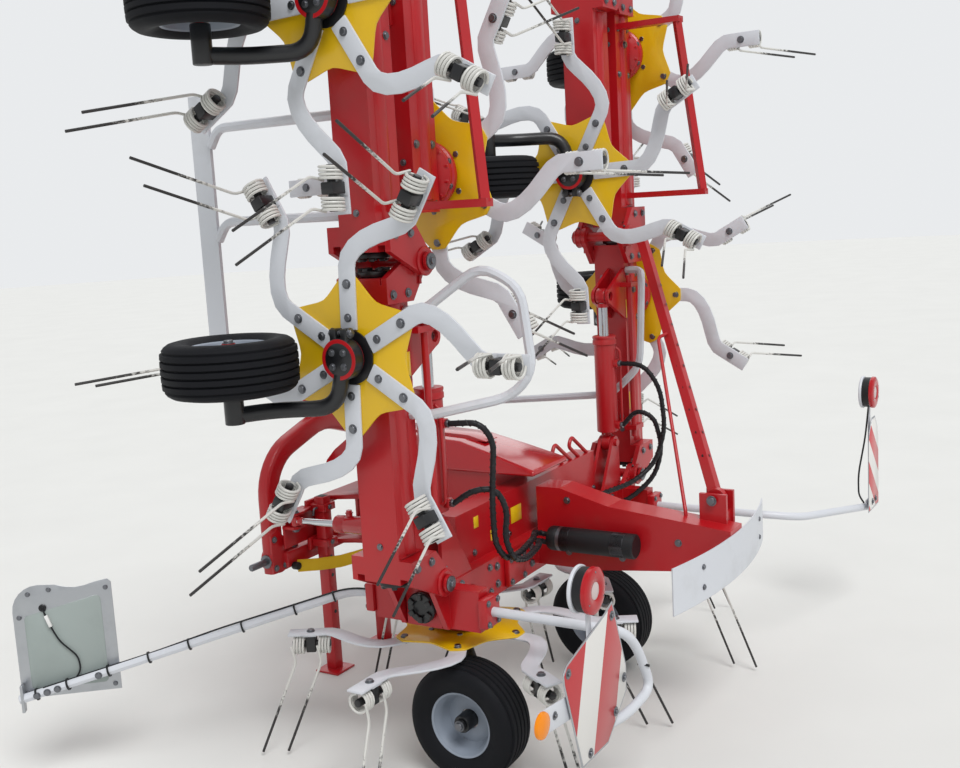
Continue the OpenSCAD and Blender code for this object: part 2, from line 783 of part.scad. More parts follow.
module damper_barrel(side) {
    color(red) damper_place(side) difference() {
        union() {
            translate([0, 0, 40]) cylinder(r = damper_barrel_r, h = damper_barrel_len);
            cylinder(r = 18, h = 41);
            rotate([90, 0, 0]) cylinder(r = 22, h = 40, center = true);
        }
        rotate([90, 0, 0]) cylinder(r = damper_pin_r + run_gap, h = 42, center = true);
        translate([0, 0, 60]) cylinder(r = damper_rod_r + run_gap, h = damper_barrel_len);
    }
}

module damper_rod(side) {
    len = norm([damper_front_x - damper_x, damper_front_y - damper_y]);
    color(chrome) damper_place(side) {
        translate([0, 0, 150]) cylinder(r = damper_rod_r, h = len - 150);
        translate([0, 0, len]) rotate([90, 0, 0]) cylinder(r = 20, h = 40, center = true);
    }
}

// Guards of white tube and flat bar

guard_x = hinge_x[1] - 275;
guard_bar_len = 850;
guard_bar_y = 680;
module guard_left_front() {
    z = beam_mid + 5;
    color(white) on_side(LEFT) fold(3) {
        box([guard_x, guard_bar_y - 40, z - 6], [guard_x + guard_bar_len, guard_bar_y + 40, z + 6]);
        for (x = [guard_x + 430, guard_x + 740])
            tube_path([[x, half_y + seat_gap, z], [x, guard_bar_y - 80, z],
                [x - 60, guard_bar_y - 39, z]], tube_r);
    }
}

guard_low = beam_top - 20;
guard_high = hinge_z + 30;
guard_root = hinge_x[1] - 150;
module guard_left() {
    z = guard_high + 15;
    color(white) on_side(LEFT) fold(2) tube_path([[guard_root, -half_y - seat_gap, guard_low],
        [guard_root, -140, guard_low], [guard_root + 130, -300, guard_high], [guard_root + 60, -430, z],
        [guard_root - 200, -460, z], [guard_root - 280, -380, z],
        [guard_root - 330, -140, guard_low], [guard_root - 330, -half_y - seat_gap, guard_low]], tube_r);
}

module guard_right() {
    z = guard_high;
    color(white) on_side(RIGHT) fold(2) tube_path([[guard_root, -half_y - seat_gap, guard_low],
        [guard_root, -140, guard_low], [guard_root - 50, -180, z], [guard_root - 410, -160, z],
        [guard_root - 540, -20, z], [guard_root - 590, 560, z]], tube_r);
}

// Warning boards on bent tubes

arm_z = beam_mid;
module board_bracket() {
    box([hinge_x[0] - 115, half_y - e, beam_low], [hinge_x[0] - 55, 210, beam_top]);
    box([hinge_x[0] - 115, -210, beam_low], [hinge_x[0] - 55, -half_y + e, beam_top]);
}

bracket_x = hinge_x[0] - 85;
rear_left = [960, -715];
rear_right = [1380, -985];
front_arm = [[bracket_x, 210 + seat_gap, arm_z], [bracket_x, 330, arm_z], [1450, 1230, 320]];
rear_arm = [[bracket_x, -210 - seat_gap, arm_z], [bracket_x, -620, arm_z], [bracket_x + 60, -700, arm_z - 30],
    [rear_left[0], rear_left[1], 420]];
rear_arm_right = [[bracket_x, -210 - seat_gap, arm_z], [bracket_x, -700, arm_z],
    [bracket_x + 80, -840, arm_z - 20],
    [rear_right[0], rear_right[1], 480]];
module board_arm(points, side) {
    color(white) on_side(side) tube_path(points, tube_r);
}

module board_arm_front_left() board_arm(front_arm, LEFT);
module board_arm_front_right() board_arm(front_arm, RIGHT);

lamp_len = 60;
lamp_r = 70;
lamp_left_z = 805;
lamp_right_z = 1000;
module rear_lamp(at, low, z) {
    box([at[0] - 10, at[1] - 4, low], [at[0] + 10, at[1] + 4, z]);
    translate([at[0], at[1] + lamp_len / 2, z]) rotate([90, 0, 0]) cylinder(r = lamp_r, h = lamp_len);
}

module board_arm_rear_left() {
    board_arm(rear_arm, LEFT);
    color(black) on_side(LEFT) rear_lamp(rear_left, rear_arm[3][2], lamp_left_z);
}

module board_arm_rear_right() {
    board_arm(rear_arm_right, RIGHT);
    color(black) on_side(RIGHT) rear_lamp(rear_right, rear_arm_right[3][2], lamp_right_z);
}

front_dir = atan2(front_arm[2][1] - front_arm[1][1], front_arm[2][0] - front_arm[1][0]);
module front_board(side) {
    color(white) on_side(side) translate([front_arm[2][0], front_arm[2][1], 312])
        rotate([0, 0, front_dir]) translate([-board_w, tube_r + seat_gap, 0]) cube([board_w, board_t, board_w]);
}

module board_front_left() front_board(LEFT);
module board_front_right() front_board(RIGHT);

module rear_board(side, at, width, low) {
    color(white) on_side(side) translate([at[0] - width / 2, at[1] - tube_r - board_t - seat_gap, low])
        cube([width, board_t, board_w]);
}

module board_rear_left() {
    rear_board(LEFT, rear_left, board_w, 310);
}

module board_rear_right() {
    rear_board(RIGHT, rear_right, board_narrow, 470);
}

// Moves the origin to the ground below the middle of the whole outline
front_reach = front_arm[2][1] + (tube_r + seat_gap + board_t) * cos(front_dir);
rear_reach = rear_right[1] - lamp_len / 2;
module placed() {
    translate([0, -(front_reach + rear_reach) / 2, 0]) children();
}

placed() centre_frame();
placed() rear_beam();
placed() gearbox();
placed() hood();
placed() rear_plate();
placed() canister();
placed() centre_legs();
placed() headstock();
placed() stand(LEFT);  // stand_left
placed() damper_barrel(LEFT);  // damper_barrel_left
placed() damper_rod(LEFT);  // damper_rod_left
placed() section_2(LEFT);  // section_2_left
placed() section_3(LEFT);  // section_3_left
placed() section_4(LEFT);  // section_4_left
placed() rotor_plate(1, LEFT);  // rotor_plate_1_left
placed() rotor_plate(2, LEFT);  // rotor_plate_2_left
placed() rotor_plate(3, LEFT);  // rotor_plate_3_left
placed() rotor_plate(4, LEFT);  // rotor_plate_4_left
placed() tine_arms(1, LEFT);  // tine_arms_1_left
placed() tine_arms(2, LEFT);  // tine_arms_2_left
placed() tine_arms(3, LEFT);  // tine_arms_3_left
placed() tine_arms(4, LEFT);  // tine_arms_4_left
placed() wheel(1, LEFT);  // wheel_1_left
placed() wheel(2, LEFT);  // wheel_2_left
placed() wheel(3, LEFT);  // wheel_3_left
placed() wheel(4, LEFT);  // wheel_4_left
placed() fold_barrel(LEFT);  // fold_barrel_left
placed() fold_rod(LEFT);  // fold_rod_left
placed() stand(RIGHT);  // stand_right
placed() damper_barrel(RIGHT);  // damper_barrel_right
placed() damper_rod(RIGHT);  // damper_rod_right
placed() section_2(RIGHT);  // section_2_right
placed() section_3(RIGHT);  // section_3_right
placed() section_4(RIGHT);  // section_4_right
placed() rotor_plate(1, RIGHT);  // rotor_plate_1_right
placed() rotor_plate(2, RIGHT);  // rotor_plate_2_right
placed() rotor_plate(3, RIGHT);  // rotor_plate_3_right
placed() rotor_plate(4, RIGHT);  // rotor_plate_4_right
placed() tine_arms(1, RIGHT);  // tine_arms_1_right
placed() tine_arms(2, RIGHT);  // tine_arms_2_right
placed() tine_arms(3, RIGHT);  // tine_arms_3_right
placed() tine_arms(4, RIGHT);  // tine_arms_4_right
placed() wheel(1, RIGHT);  // wheel_1_right
placed() wheel(2, RIGHT);  // wheel_2_right
placed() wheel(3, RIGHT);  // wheel_3_right
placed() wheel(4, RIGHT);  // wheel_4_right
placed() fold_barrel(RIGHT);  // fold_barrel_right
placed() fold_rod(RIGHT);  // fold_rod_right
placed() guard_left();
placed() guard_right();
placed() guard_left_front();
placed() board_arm_front_left();
placed() board_front_left();
placed() board_arm_front_right();
placed() board_front_right();
placed() board_arm_rear_left();
placed() board_rear_left();
placed() board_arm_rear_right();
placed() board_rear_right();
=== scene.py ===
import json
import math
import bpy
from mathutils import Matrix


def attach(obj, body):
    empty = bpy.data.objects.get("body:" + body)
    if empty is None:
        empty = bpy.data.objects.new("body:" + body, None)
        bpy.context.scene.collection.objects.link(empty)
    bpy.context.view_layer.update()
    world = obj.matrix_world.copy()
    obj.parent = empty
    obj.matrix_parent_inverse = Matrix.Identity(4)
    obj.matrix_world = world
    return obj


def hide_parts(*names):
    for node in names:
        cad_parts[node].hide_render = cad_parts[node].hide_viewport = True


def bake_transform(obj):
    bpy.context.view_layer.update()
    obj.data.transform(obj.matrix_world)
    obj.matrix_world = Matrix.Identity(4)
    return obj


bl_info = {"name": "Folded Hay Tedder", "version": (1, 0, 0), "blender": (4, 5, 0),
           "location": "3D View > Sidebar > Hay Tedder",
           "description": "Dresses the packed hay tedder with detailed pieces, finishes and a plain studio",
           "category": "Object"}

import bmesh
import bpy
from bpy.props import FloatProperty, FloatVectorProperty, IntProperty, PointerProperty
from mathutils import Matrix, Vector

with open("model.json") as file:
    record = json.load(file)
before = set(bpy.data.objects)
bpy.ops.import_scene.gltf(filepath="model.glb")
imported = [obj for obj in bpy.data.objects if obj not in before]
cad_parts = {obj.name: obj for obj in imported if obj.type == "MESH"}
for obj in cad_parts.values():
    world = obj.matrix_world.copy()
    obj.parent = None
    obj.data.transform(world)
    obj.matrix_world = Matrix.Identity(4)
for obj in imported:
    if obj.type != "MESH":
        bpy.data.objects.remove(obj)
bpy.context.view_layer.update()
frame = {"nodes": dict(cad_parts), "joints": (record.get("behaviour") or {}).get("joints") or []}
JOINTS = {j["name"]: j for j in frame["joints"]}

# Sizes of the frame, in millimetres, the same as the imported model's
ROTOR_GAP = 1050
HINGE_OUT = 270
HINGE_Z = 700
PLATE_Z = 444
PLATE_T = 6
ARM_T = 8
ARM_SWEEP = 29
COIL_R = 37
COIL_LEN = 52
COIL_IN_R = 497
COIL_STEP = 92
WIRE_R = 4.7
TYRE_R = 205
TYRE_W = 165
WHEEL_AHEAD = 270
BEAM_TOP = 660
BEAM_LOW = 520
BEAM_MID = 590
HALF_Y = 70
LEG_TOP = 402
ARM_IN_R = 84
ARM_OUT_R = 622
ARM_HALF_W = 30
ARM_BOLTS = ((120, 0.9), (222, 1.0))
BEND_FROM_R = 275
BEND_OVER = 205
TINE_LEAN = 150
TIP_Z = 19
CENTRE_WHEEL = (-200, -140)
SWIVEL_Y = 680
ARCH_Y = 1000
HITCH_Z = 530
STAND_X = 180
STAND_Y = 880
TOP_LINK = (1070, 1140)
DAMPER_BASE = (265, 330, 690)
DAMPER_RUN = (70, 570)
FOLD_BASE = (690, -30, 860)
FOLD_PIN = 640
ARM_ROOT_X = 710
ARM_ROOT_Z = 590
BOARD_AT = (1450, 1230, 312)
BOARD_RUN = (740, 900)
REAR_LEFT = (960, -715)
REAR_RIGHT = (1380, -985)
REAR_PLATE_R = 1904.7
REAR_PLATE_Y = 1063.75
BRACE_FOOT = (60, -745, 820)
BRACE_HEAD = (795, -180, 1750)
CANISTER_AT = (-110, -500, 665)
BOARD_LEN = 1165
BOARD_DROP = 270
BOARD_BACK = -16.4
COIL_Z = PLATE_Z - ARM_T - COIL_R - 1
ROTOR_X = [ROTOR_GAP * (i + 0.5) for i in range(4)]
HINGE_X = [x + HINGE_OUT for x in ROTOR_X[:3]]
SHIFT_Y = JOINTS["headstock_swivel"]["pos_m"][1] * 1000 - SWIVEL_Y
WORLD = Matrix.Scale(0.001, 4) @ Matrix.Translation((0, SHIFT_Y, 0))
SIDES = {"left": -1, "right": 1}

# Finishes, by the names of their materials
RED = "red_enamel"
GLOSSY_RED = "glossy_red_enamel"
YELLOW = "yellow_enamel"
WHITE = "white_powder_coat"
BLACK = "black_enamel"
YELLOW_FILM = "yellow_film"
PLASTIC = "black_moulded_plastic"
RUBBER = "hose_rubber"
TREAD = "tread_rubber"
CHROME = "hard_chrome"
ZINC = "zinc_plated_steel"
ALUMINIUM = "sheet_aluminium"
COIL_ENAMEL = "cream_spring_steel"


def turn(axis, degrees):
    """Rotation about an axis through the origin"""
    return Matrix.Rotation(math.radians(degrees), 4, axis)


def move(x, y, z):
    """Shift by the given millimetres"""
    return Matrix.Translation((x, y, z))


def on_side(side):
    """Mirrors what is drawn on the right to the given side"""
    return Matrix.Scale(SIDES[side], 4, (1, 0, 0))


# Where the +Z of a shell points after it is turned
TO_REAR = turn("X", 90)
TO_FRONT = turn("X", -90)
TO_RIGHT = turn("Y", 90)
TO_LEFT = turn("Y", -90)
DOWN = turn("X", 180)


def folded(n, side):
    """Place of a piece drawn in the working position of section n on the right"""
    place = Matrix.Identity(4)
    if n == 4:
        place = move(HINGE_X[2], 0, HINGE_Z) @ turn("Y", -180) @ move(-HINGE_X[2], 0, -HINGE_Z)
    if n > 1:
        place = move(HINGE_X[0], 0, HINGE_Z) @ TO_LEFT @ move(-HINGE_X[0], 0, -HINGE_Z) @ place
    return WORLD @ on_side(side) @ place


def bolt_angle(n, side):
    """Direction of the first arm bolt of a rotor, in degrees from outboard"""
    if side == "right":
        return 90 - (28 if n % 2 else 2)
    return 90 - (-2 if n % 2 else 32)


# Shells: closed meshes in millimetres, joined into pieces


def soften(shell, edge, steps=2, sharper_than=30):
    """Rounds the edges where two faces meet at a clear angle"""
    if edge <= 0:
        return shell
    limit = math.radians(sharper_than)
    edges = [e for e in shell.edges if len(e.link_faces) == 2 and e.calc_face_angle(0) > limit]
    bmesh.ops.bevel(shell, geom=edges, offset=edge, offset_type="OFFSET", segments=steps, profile=0.5,
                    affect="EDGES", material=-1, clamp_overlap=True)
    return shell


def block(low, high, edge=2.0):
    """A box between two corners with rounded edges"""
    shell = bmesh.new()
    low, high = Vector(low), Vector(high)
    place = Matrix.Translation((low + high) / 2) @ Matrix.Diagonal((*(high - low), 1))
    bmesh.ops.create_cube(shell, size=1, matrix=place)
    return soften(shell, edge)


def plate(points, thick, edge=1.0, steps=2):
    """A flat outline in XY, from z = 0 up to its thickness"""
    shell = bmesh.new()
    face = shell.faces.new([shell.verts.new((x, y, 0)) for x, y in points])
    made = bmesh.ops.extrude_face_region(shell, geom=[face])["geom"]
    bmesh.ops.translate(shell, vec=(0, 0, thick),
                        verts=[v for v in made if isinstance(v, bmesh.types.BMVert)])
    bmesh.ops.recalc_face_normals(shell, faces=shell.faces)
    return soften(shell, edge, steps)


def drum(radius, length, edge=1.5, sides=32, top=None):
    """A round bar or cone along +Z from z = 0"""
    shell = bmesh.new()
    bmesh.ops.create_cone(shell, cap_ends=True, segments=sides, radius1=radius,
                          radius2=radius if top is None else top, depth=length, matrix=move(0, 0, length / 2))
    if edge > 0:
        rims = [e for e in shell.edges if abs(e.verts[0].co.z - e.verts[1].co.z) < 1e-6]
        bmesh.ops.bevel(shell, geom=rims, offset=edge, offset_type="OFFSET", segments=2, profile=0.5,
                        affect="EDGES", material=-1, clamp_overlap=True)
    return shell


def lathe(profile, sides=48):
    """A profile of (radius, height) points turned about Z; it starts on the axis or is a closed ring"""
    shell = bmesh.new()
    verts = [shell.verts.new((r, 0, z)) for r, z in profile]
    edges = [shell.edges.new((a, b)) for a, b in zip(verts, verts[1:])]
    if profile[0][0] > 0.001:
        edges.append(shell.edges.new((verts[-1], verts[0])))
    bmesh.ops.spin(shell, geom=verts + edges, cent=(0, 0, 0), axis=(0, 0, 1), angle=math.tau, steps=sides,
                   use_merge=True, use_duplicate=False)
    bmesh.ops.remove_doubles(shell, verts=shell.verts, dist=0.001)
    bmesh.ops.recalc_face_normals(shell, faces=shell.faces)
    return shell


def rounded(points, over=60, steps=6):
    """Stations along a path whose corners are rounded over the given length"""
    points = [Vector(p) for p in points]
    path = [points[0]]
    for before, corner, after in zip(points, points[1:], points[2:]):
        back, on = before - corner, after - corner
        cut = min(over, back.length / 2 - 0.5, on.length / 2 - 0.5)
        a, b = corner + back.normalized() * cut, corner + on.normalized() * cut
        for k in range(steps + 1):
            u = k / steps
            path.append((1 - u) ** 2 * a + 2 * u * (1 - u) * corner + u * u * b)
    return path + [points[-1]]


def stations(path):
    """A matrix at each point of a path, with Z along it and no needless twist"""
    ahead = [(b - a).normalized() for a, b in zip(path, path[1:])]
    spin = Vector((0, 0, 1)).rotation_difference(ahead[0])
    places = []
    for i, point in enumerate(path):
        along = (ahead[max(i - 1, 0)] + ahead[min(i, len(ahead) - 1)]).normalized()
        spin = (spin @ Vector((0, 0, 1))).rotation_difference(along) @ spin
        places.append(Matrix.Translation(point) @ spin.to_matrix().to_4x4())
    return places


def sweep(path, ring):
    """Carries a closed ring of (x, y) points along a path and closes both ends"""
    shell = bmesh.new()
    places = stations([Vector(p) for p in path])
    first = shell.faces.new([shell.verts.new((x, y, 0)) for x, y in ring])
    bmesh.ops.transform(shell, matrix=places[0], verts=first.verts)
    end = first
    for before, place in zip(places, places[1:]):
        made = bmesh.ops.extrude_face_region(shell, geom=[end])["geom"]
        if end is not first:
            bmesh.ops.delete(shell, geom=[end], context="FACES_ONLY")
        end = next(f for f in made if isinstance(f, bmesh.types.BMFace))
        bmesh.ops.transform(shell, matrix=place @ before.inverted(), verts=end.verts)
    bmesh.ops.recalc_face_normals(shell, faces=shell.faces)
    return shell


def oblong(half_x, half_y, corner, steps=4):
    """A rectangle with rounded corners as a ring of (x, y) points"""
    ring = []
    for quarter, (sx, sy) in enumerate(((1, 1), (-1, 1), (-1, -1), (1, -1))):
        for k in range(steps + 1):
            a = math.pi / 2 * (quarter + k / steps)
            ring.append((sx * (half_x - corner) + corner * math.cos(a),
                         sy * (half_y - corner) + corner * math.sin(a)))
    return ring


def arc(x, y, radius, start, end, steps=8):
    """Points on a circle's arc between two angles in degrees"""
    angles = [math.radians(start + (end - start) * k / steps) for k in range(steps + 1)]
    return [(x + radius * math.cos(a), y + radius * math.sin(a)) for a in angles]


def circle(radius, sides=12):
    """A round ring of (x, y) points"""
    return [(radius * math.cos(math.tau * k / sides), radius * math.sin(math.tau * k / sides))
            for k in range(sides)]


def tube(points, radius, over=60, sides=14):
    """A round bar along a path, its corners rounded over the given length"""
    return sweep(rounded(points, over), circle(radius, sides))


def hex_bolt(size, height=None, washer=True):
    """A six-sided head with its washer, standing on z = 0"""
    height = height or size * 0.7
    shell = drum(size, height, 0, 6)
    soften(shell, size * 0.08, 1)
    if washer:
        ring = drum(size * 1.25, size * 0.2, 0, 20)
        join(shell, ring)
    return shell


def join(shell, other, at=None):
    """Adds the other shell to the first and frees it"""
    if at is not None:
        bmesh.ops.transform(other, matrix=at, verts=other.verts)
    mesh = bpy.data.meshes.new("shell")
    other.to_mesh(mesh)
    other.free()
    shell.from_mesh(mesh)
    bpy.data.meshes.remove(mesh)
    return shell


def facing_x(x):
    """Stands an outline of (y, z) points up, with its thickness from x towards +X"""
    return move(x, 0, 0) @ turn("Z", 90) @ TO_REAR


def facing_y(y):
    """Stands an outline of (x, z) points up, with its thickness from y towards -Y"""
    return move(0, y, 0) @ TO_REAR


class Piece:
    """A named object in the making, out of closed shells that each have a finish"""

    def __init__(self, name, body, place=WORLD):
        self.name, self.body, self.place = name, body, place
        self.bm = bmesh.new()
        self.bm.verts.layers.float.new("worn")
        self.finishes = []

    def add(self, shell, finish, at=None):
        """Joins a shell in one finish"""
        if finish not in self.finishes:
            self.finishes.append(finish)
        for face in shell.faces:
            face.material_index = self.finishes.index(finish)
        join(self.bm, shell, at)
        return self

    def bolt(self, size, at, height=None, washer=True):
        """Joins a plated bolt head that stands on the place given"""
        self.add(hex_bolt(size, height, washer), ZINC, at)

    def copy(self, mesh, finishes, at):
        """Joins a finished mesh whose material slots are the given finishes"""
        for finish in finishes:
            if finish not in self.finishes:
                self.finishes.append(finish)
        shell = bmesh.new()
        shell.from_mesh(mesh)
        for face in shell.faces:
            face.material_index = self.finishes.index(finishes[face.material_index])
        join(self.bm, shell, at)

    def done(self, replaces=(), blend=None):
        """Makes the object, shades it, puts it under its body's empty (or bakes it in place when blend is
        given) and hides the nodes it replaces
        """
        bmesh.ops.transform(self.bm, matrix=self.place, verts=self.bm.verts)
        bmesh.ops.recalc_face_normals(self.bm, faces=self.bm.faces)
        crease = math.radians(38)
        for edge in self.bm.edges:
            edge.smooth = len(edge.link_faces) == 2 and edge.calc_face_angle(0) < crease
        for face in self.bm.faces:
            face.smooth = True
        mesh = bpy.data.meshes.new(self.name)
        self.bm.to_mesh(mesh)
        self.bm.free()
        obj = bpy.data.objects.new(self.name, mesh)
        bpy.context.scene.collection.objects.link(obj)
        for finish in self.finishes:
            mesh.materials.append(bpy.data.materials[finish])
        if blend:
            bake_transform(obj)
        else:
            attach(obj, self.body)
        if replaces:
            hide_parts(*replaces)
        return obj


# Finishes


def linear(value):
    """sRGB hex to the linear colour that a socket takes"""
    parts = [int(value[i:i + 2], 16) / 255 for i in (1, 3, 5)]
    return tuple(c / 12.92 if c <= 0.04045 else ((c + 0.055) / 1.055) ** 2.4 for c in parts) + (1.0,)


def add_node(tree, kind, links=None, **settings):
    """Adds a node; settings are its properties or sockets, links are {socket: output socket}"""
    made = tree.nodes.new(kind)
    for key, value in settings.items():
        if key in made.inputs:
            made.inputs[key].default_value = value
        elif key.replace("_", " ").title() in made.inputs:
            made.inputs[key.replace("_", " ").title()].default_value = value
        else:
            setattr(made, key, value)
    for socket, source in (links or {}).items():
        tree.links.new(source, made.inputs[socket])
    return made


def base_material(name, colour, roughness, metallic=0.0, coat=0.0, ior=None, shine=0.5):
    """Makes a named material; gives its tree, its shader and its Object coordinates"""
    material = bpy.data.materials.new(name)
    material.use_nodes = True
    tree = material.node_tree
    shader = next(n for n in tree.nodes if n.type == "BSDF_PRINCIPLED")
    shader.inputs["Base Color"].default_value = linear(colour)
    shader.inputs["Roughness"].default_value = roughness
    shader.inputs["Metallic"].default_value = metallic
    shader.inputs["Coat Weight"].default_value = coat
    shader.inputs["Specular IOR Level"].default_value = shine
    if coat:
        shader.inputs["Coat Roughness"].default_value = 0.12
    if ior:
        shader.inputs["IOR"].default_value = ior
    where = add_node(tree, "ShaderNodeTexCoord")
    return tree, shader, where.outputs["Object"]


def grain(tree, where, per_metre, detail=3.0, rough=0.55):
    """Noise with the given number of cells in a metre"""
    return add_node(tree, "ShaderNodeTexNoise", {"Vector": where}, Scale=per_metre, Detail=detail,
                    Roughness=rough).outputs["Fac"]


def between(tree, value, low, high, out_low=0.0, out_high=1.0):
    """Maps a value from one range to another"""
    made = add_node(tree, "ShaderNodeMapRange", {"Value": value})
    for key, number in (("From Min", low), ("From Max", high), ("To Min", out_low), ("To Max", out_high)):
        made.inputs[key].default_value = number
    return made.outputs["Result"]


def calc(tree, operation, *values):
    """A maths node on up to three values, each a number or an output socket"""
    made = add_node(tree, "ShaderNodeMath", operation=operation)
    for socket, value in zip(made.inputs, values):
        if isinstance(value, (int, float)):
            socket.default_value = value
        else:
            tree.links.new(value, socket)
    return made.outputs[0]


def roughen(tree, shader, amount, low, high, at_low, at_high):
    """Lets the roughness follow a value"""
    tree.links.new(between(tree, amount, low, high, at_low, at_high), shader.inputs["Roughness"])


def blend_colours(tree, amount, first, second):
    """Mixes two colours, each a hex value or an output socket"""
    made = tree.nodes.new("ShaderNodeMix")
    made.data_type = "RGBA"
    tree.links.new(amount, made.inputs["Factor"])
    for socket, colour in ((made.inputs[6], first), (made.inputs[7], second)):
        if isinstance(colour, str):
            socket.default_value = linear(colour)
        else:
            tree.links.new(colour, socket)
    return made.outputs[2]


def bumps(tree, shader, height, strength, distance, soft_edge=0.0):
    """Bump on the shader's normal, over edges rounded by the given radius in metres"""
    links = {"Height": height}
    if soft_edge:
        links["Normal"] = add_node(tree, "ShaderNodeBevel", samples=4, Radius=soft_edge).outputs["Normal"]
    made = add_node(tree, "ShaderNodeBump", links, Strength=strength, Distance=distance)
    tree.links.new(made.outputs["Normal"], shader.inputs["Normal"])


def painted(name, colour, dust, roughness, coat, peel=0.25, edge=0.0025):
    """Sprayed enamel on steel: an even colour with a slight orange peel, road dust in soft patches"""
    tree, shader, where = base_material(name, colour, roughness, coat=coat)
    patches = between(tree, grain(tree, where, 3.2, detail=5.0, rough=0.62), 0.52, 0.76, out_high=0.30)
    tree.links.new(blend_colours(tree, patches, colour, dust), shader.inputs["Base Color"])
    roughen(tree, shader, patches, 0.0, 0.42, roughness, min(roughness + 0.3, 0.9))
    bumps(tree, shader, grain(tree, where, 240.0), peel, 0.0006, edge)


def moulded(name, colour, roughness, per_metre, depth, shine=0.5):
    """Moulded plastic or rubber: a fine even grain that breaks up the shine"""
    tree, shader, where = base_material(name, colour, roughness, ior=1.45, shine=shine)
    roughen(tree, shader, grain(tree, where, 6.0), 0.3, 0.7, roughness - 0.08, roughness + 0.08)
    bumps(tree, shader, grain(tree, where, per_metre), 0.5, depth)


def bare_metal(name, colour, roughness, per_metre):
    """Plated or ground metal: fine marks along no special direction"""
    tree, shader, where = base_material(name, colour, roughness, metallic=1.0)
    roughen(tree, shader, grain(tree, where, per_metre), 0.3, 0.7, roughness * 0.7, roughness * 1.4)
    bumps(tree, shader, grain(tree, where, per_metre * 4), 0.2, 0.0002, 0.001)


def spring_wire(name, colour, worn_colour):
    """Enamelled spring steel whose paint the grass has worn off towards the tip"""
    tree, shader, where = base_material(name, colour, 0.42)
    worn = add_node(tree, "ShaderNodeAttribute", attribute_name="worn",
                    attribute_type="GEOMETRY").outputs["Fac"]
    edge = between(tree, grain(tree, where, 90.0, detail=4.0), 0.3, 0.7, out_low=-0.15, out_high=0.15)
    bare = between(tree, calc(tree, "ADD", worn, edge), 0.42, 0.60)
    tree.links.new(blend_colours(tree, bare, colour, worn_colour), shader.inputs["Base Color"])
    roughen(tree, shader, bare, 0.0, 1.0, 0.42, 0.55)
    bumps(tree, shader, grain(tree, where, 300.0), 0.3, 0.0005)


def striped_film(name, red, white, band, lean, phase=0.0):
    """Reflective film with leaning bands; its fine cells are drawn 2 mm wide so that they show"""
    tree, shader, where = base_material(name, white, 0.35, coat=0.4)
    parts = add_node(tree, "ShaderNodeSeparateXYZ", {0: where}).outputs
    leaning = calc(tree, "ADD", calc(tree, "MULTIPLY", parts["X"], lean), parts["Z"])
    bands = calc(tree, "MULTIPLY_ADD", leaning, 1 / (band * 2 * math.hypot(1, lean)), phase)
    red_band = calc(tree, "GREATER_THAN", calc(tree, "FRACT", bands), 0.5)
    tree.links.new(blend_colours(tree, red_band, white, red), shader.inputs["Base Color"])
    cells = add_node(tree, "ShaderNodeTexVoronoi", {"Vector": where}, Scale=500.0).outputs["Distance"]
    bumps(tree, shader, cells, 0.15, 0.0005)


def make_finishes(colours):
    """Every finish of the machine, by the name that the pieces use"""
    red, yellow, white = (to_hex(c) for c in (colours.red, colours.yellow, colours.white))
    painted(RED, red, "#7A4A40", 0.36, 0.2)
    painted(GLOSSY_RED, red, "#A04038", 0.16, 0.7, peel=0.12)
    painted(YELLOW, yellow, "#A89050", 0.36, 0.3)
    painted(WHITE, white, "#8F8B84", 0.42, 0.1, peel=0.5)
    painted(BLACK, "#141518", "#3A3733", 0.40, 0.2)
    painted("grey_rim_enamel", "#8A93A0", "#6A645C", 0.45, 0.1)
    painted(YELLOW_FILM, "#E8C21A", "#C8A83A", 0.30, 0.4, peel=0.05)
    painted("white_film", "#E4E4E2", "#BDBAB4", 0.30, 0.4, peel=0.05)
    painted("dull_film", "#98A29F", "#7D8682", 0.45, 0.1, peel=0.05)
    moulded(PLASTIC, "#16171A", 0.50, 700.0, 0.0006)
    moulded(RUBBER, "#15161A", 0.45, 900.0, 0.0004)
    moulded(TREAD, "#15161A", 0.66, 420.0, 0.0010, shine=0.2)
    moulded("red_lens", "#B01820", 0.12, 60.0, 0.0010)
    moulded("amber_lens", "#F08A00", 0.14, 60.0, 0.0010)
    moulded("clear_lens", "#C9B8B6", 0.10, 60.0, 0.0010)
    moulded("yellow_webbing", "#D8B21E", 0.80, 600.0, 0.0012)
    bare_metal(CHROME, "#D8DADD", 0.10, 30.0)
    bare_metal(ZINC, "#7C7E83", 0.40, 60.0)
    bare_metal(ALUMINIUM, "#B9BCC0", 0.42, 24.0)
    spring_wire(COIL_ENAMEL, to_hex(colours.cream), "#2C2A2A")
    striped_film("stripes_leaning_left", "#C8202A", "#E6E4E0", 0.0705, 1.0)
    striped_film("steep_stripes", "#B8252C", "#DCDAD6", 0.13, -3.0, 0.97)


def to_hex(colour):
    """A colour property (linear) to its sRGB hex value"""
    parts = [12.92 * c if c <= 0.0031308 else 1.055 * c ** (1 / 2.4) - 0.055 for c in colour]
    return "#" + "".join(f"{round(255 * min(max(c, 0), 1)):02X}" for c in parts)


def repaint(node, finish):
    """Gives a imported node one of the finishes"""
    obj = frame["nodes"][node]
    obj.data.materials.clear()
    obj.data.materials.append(bpy.data.materials[finish])


# What a user would change


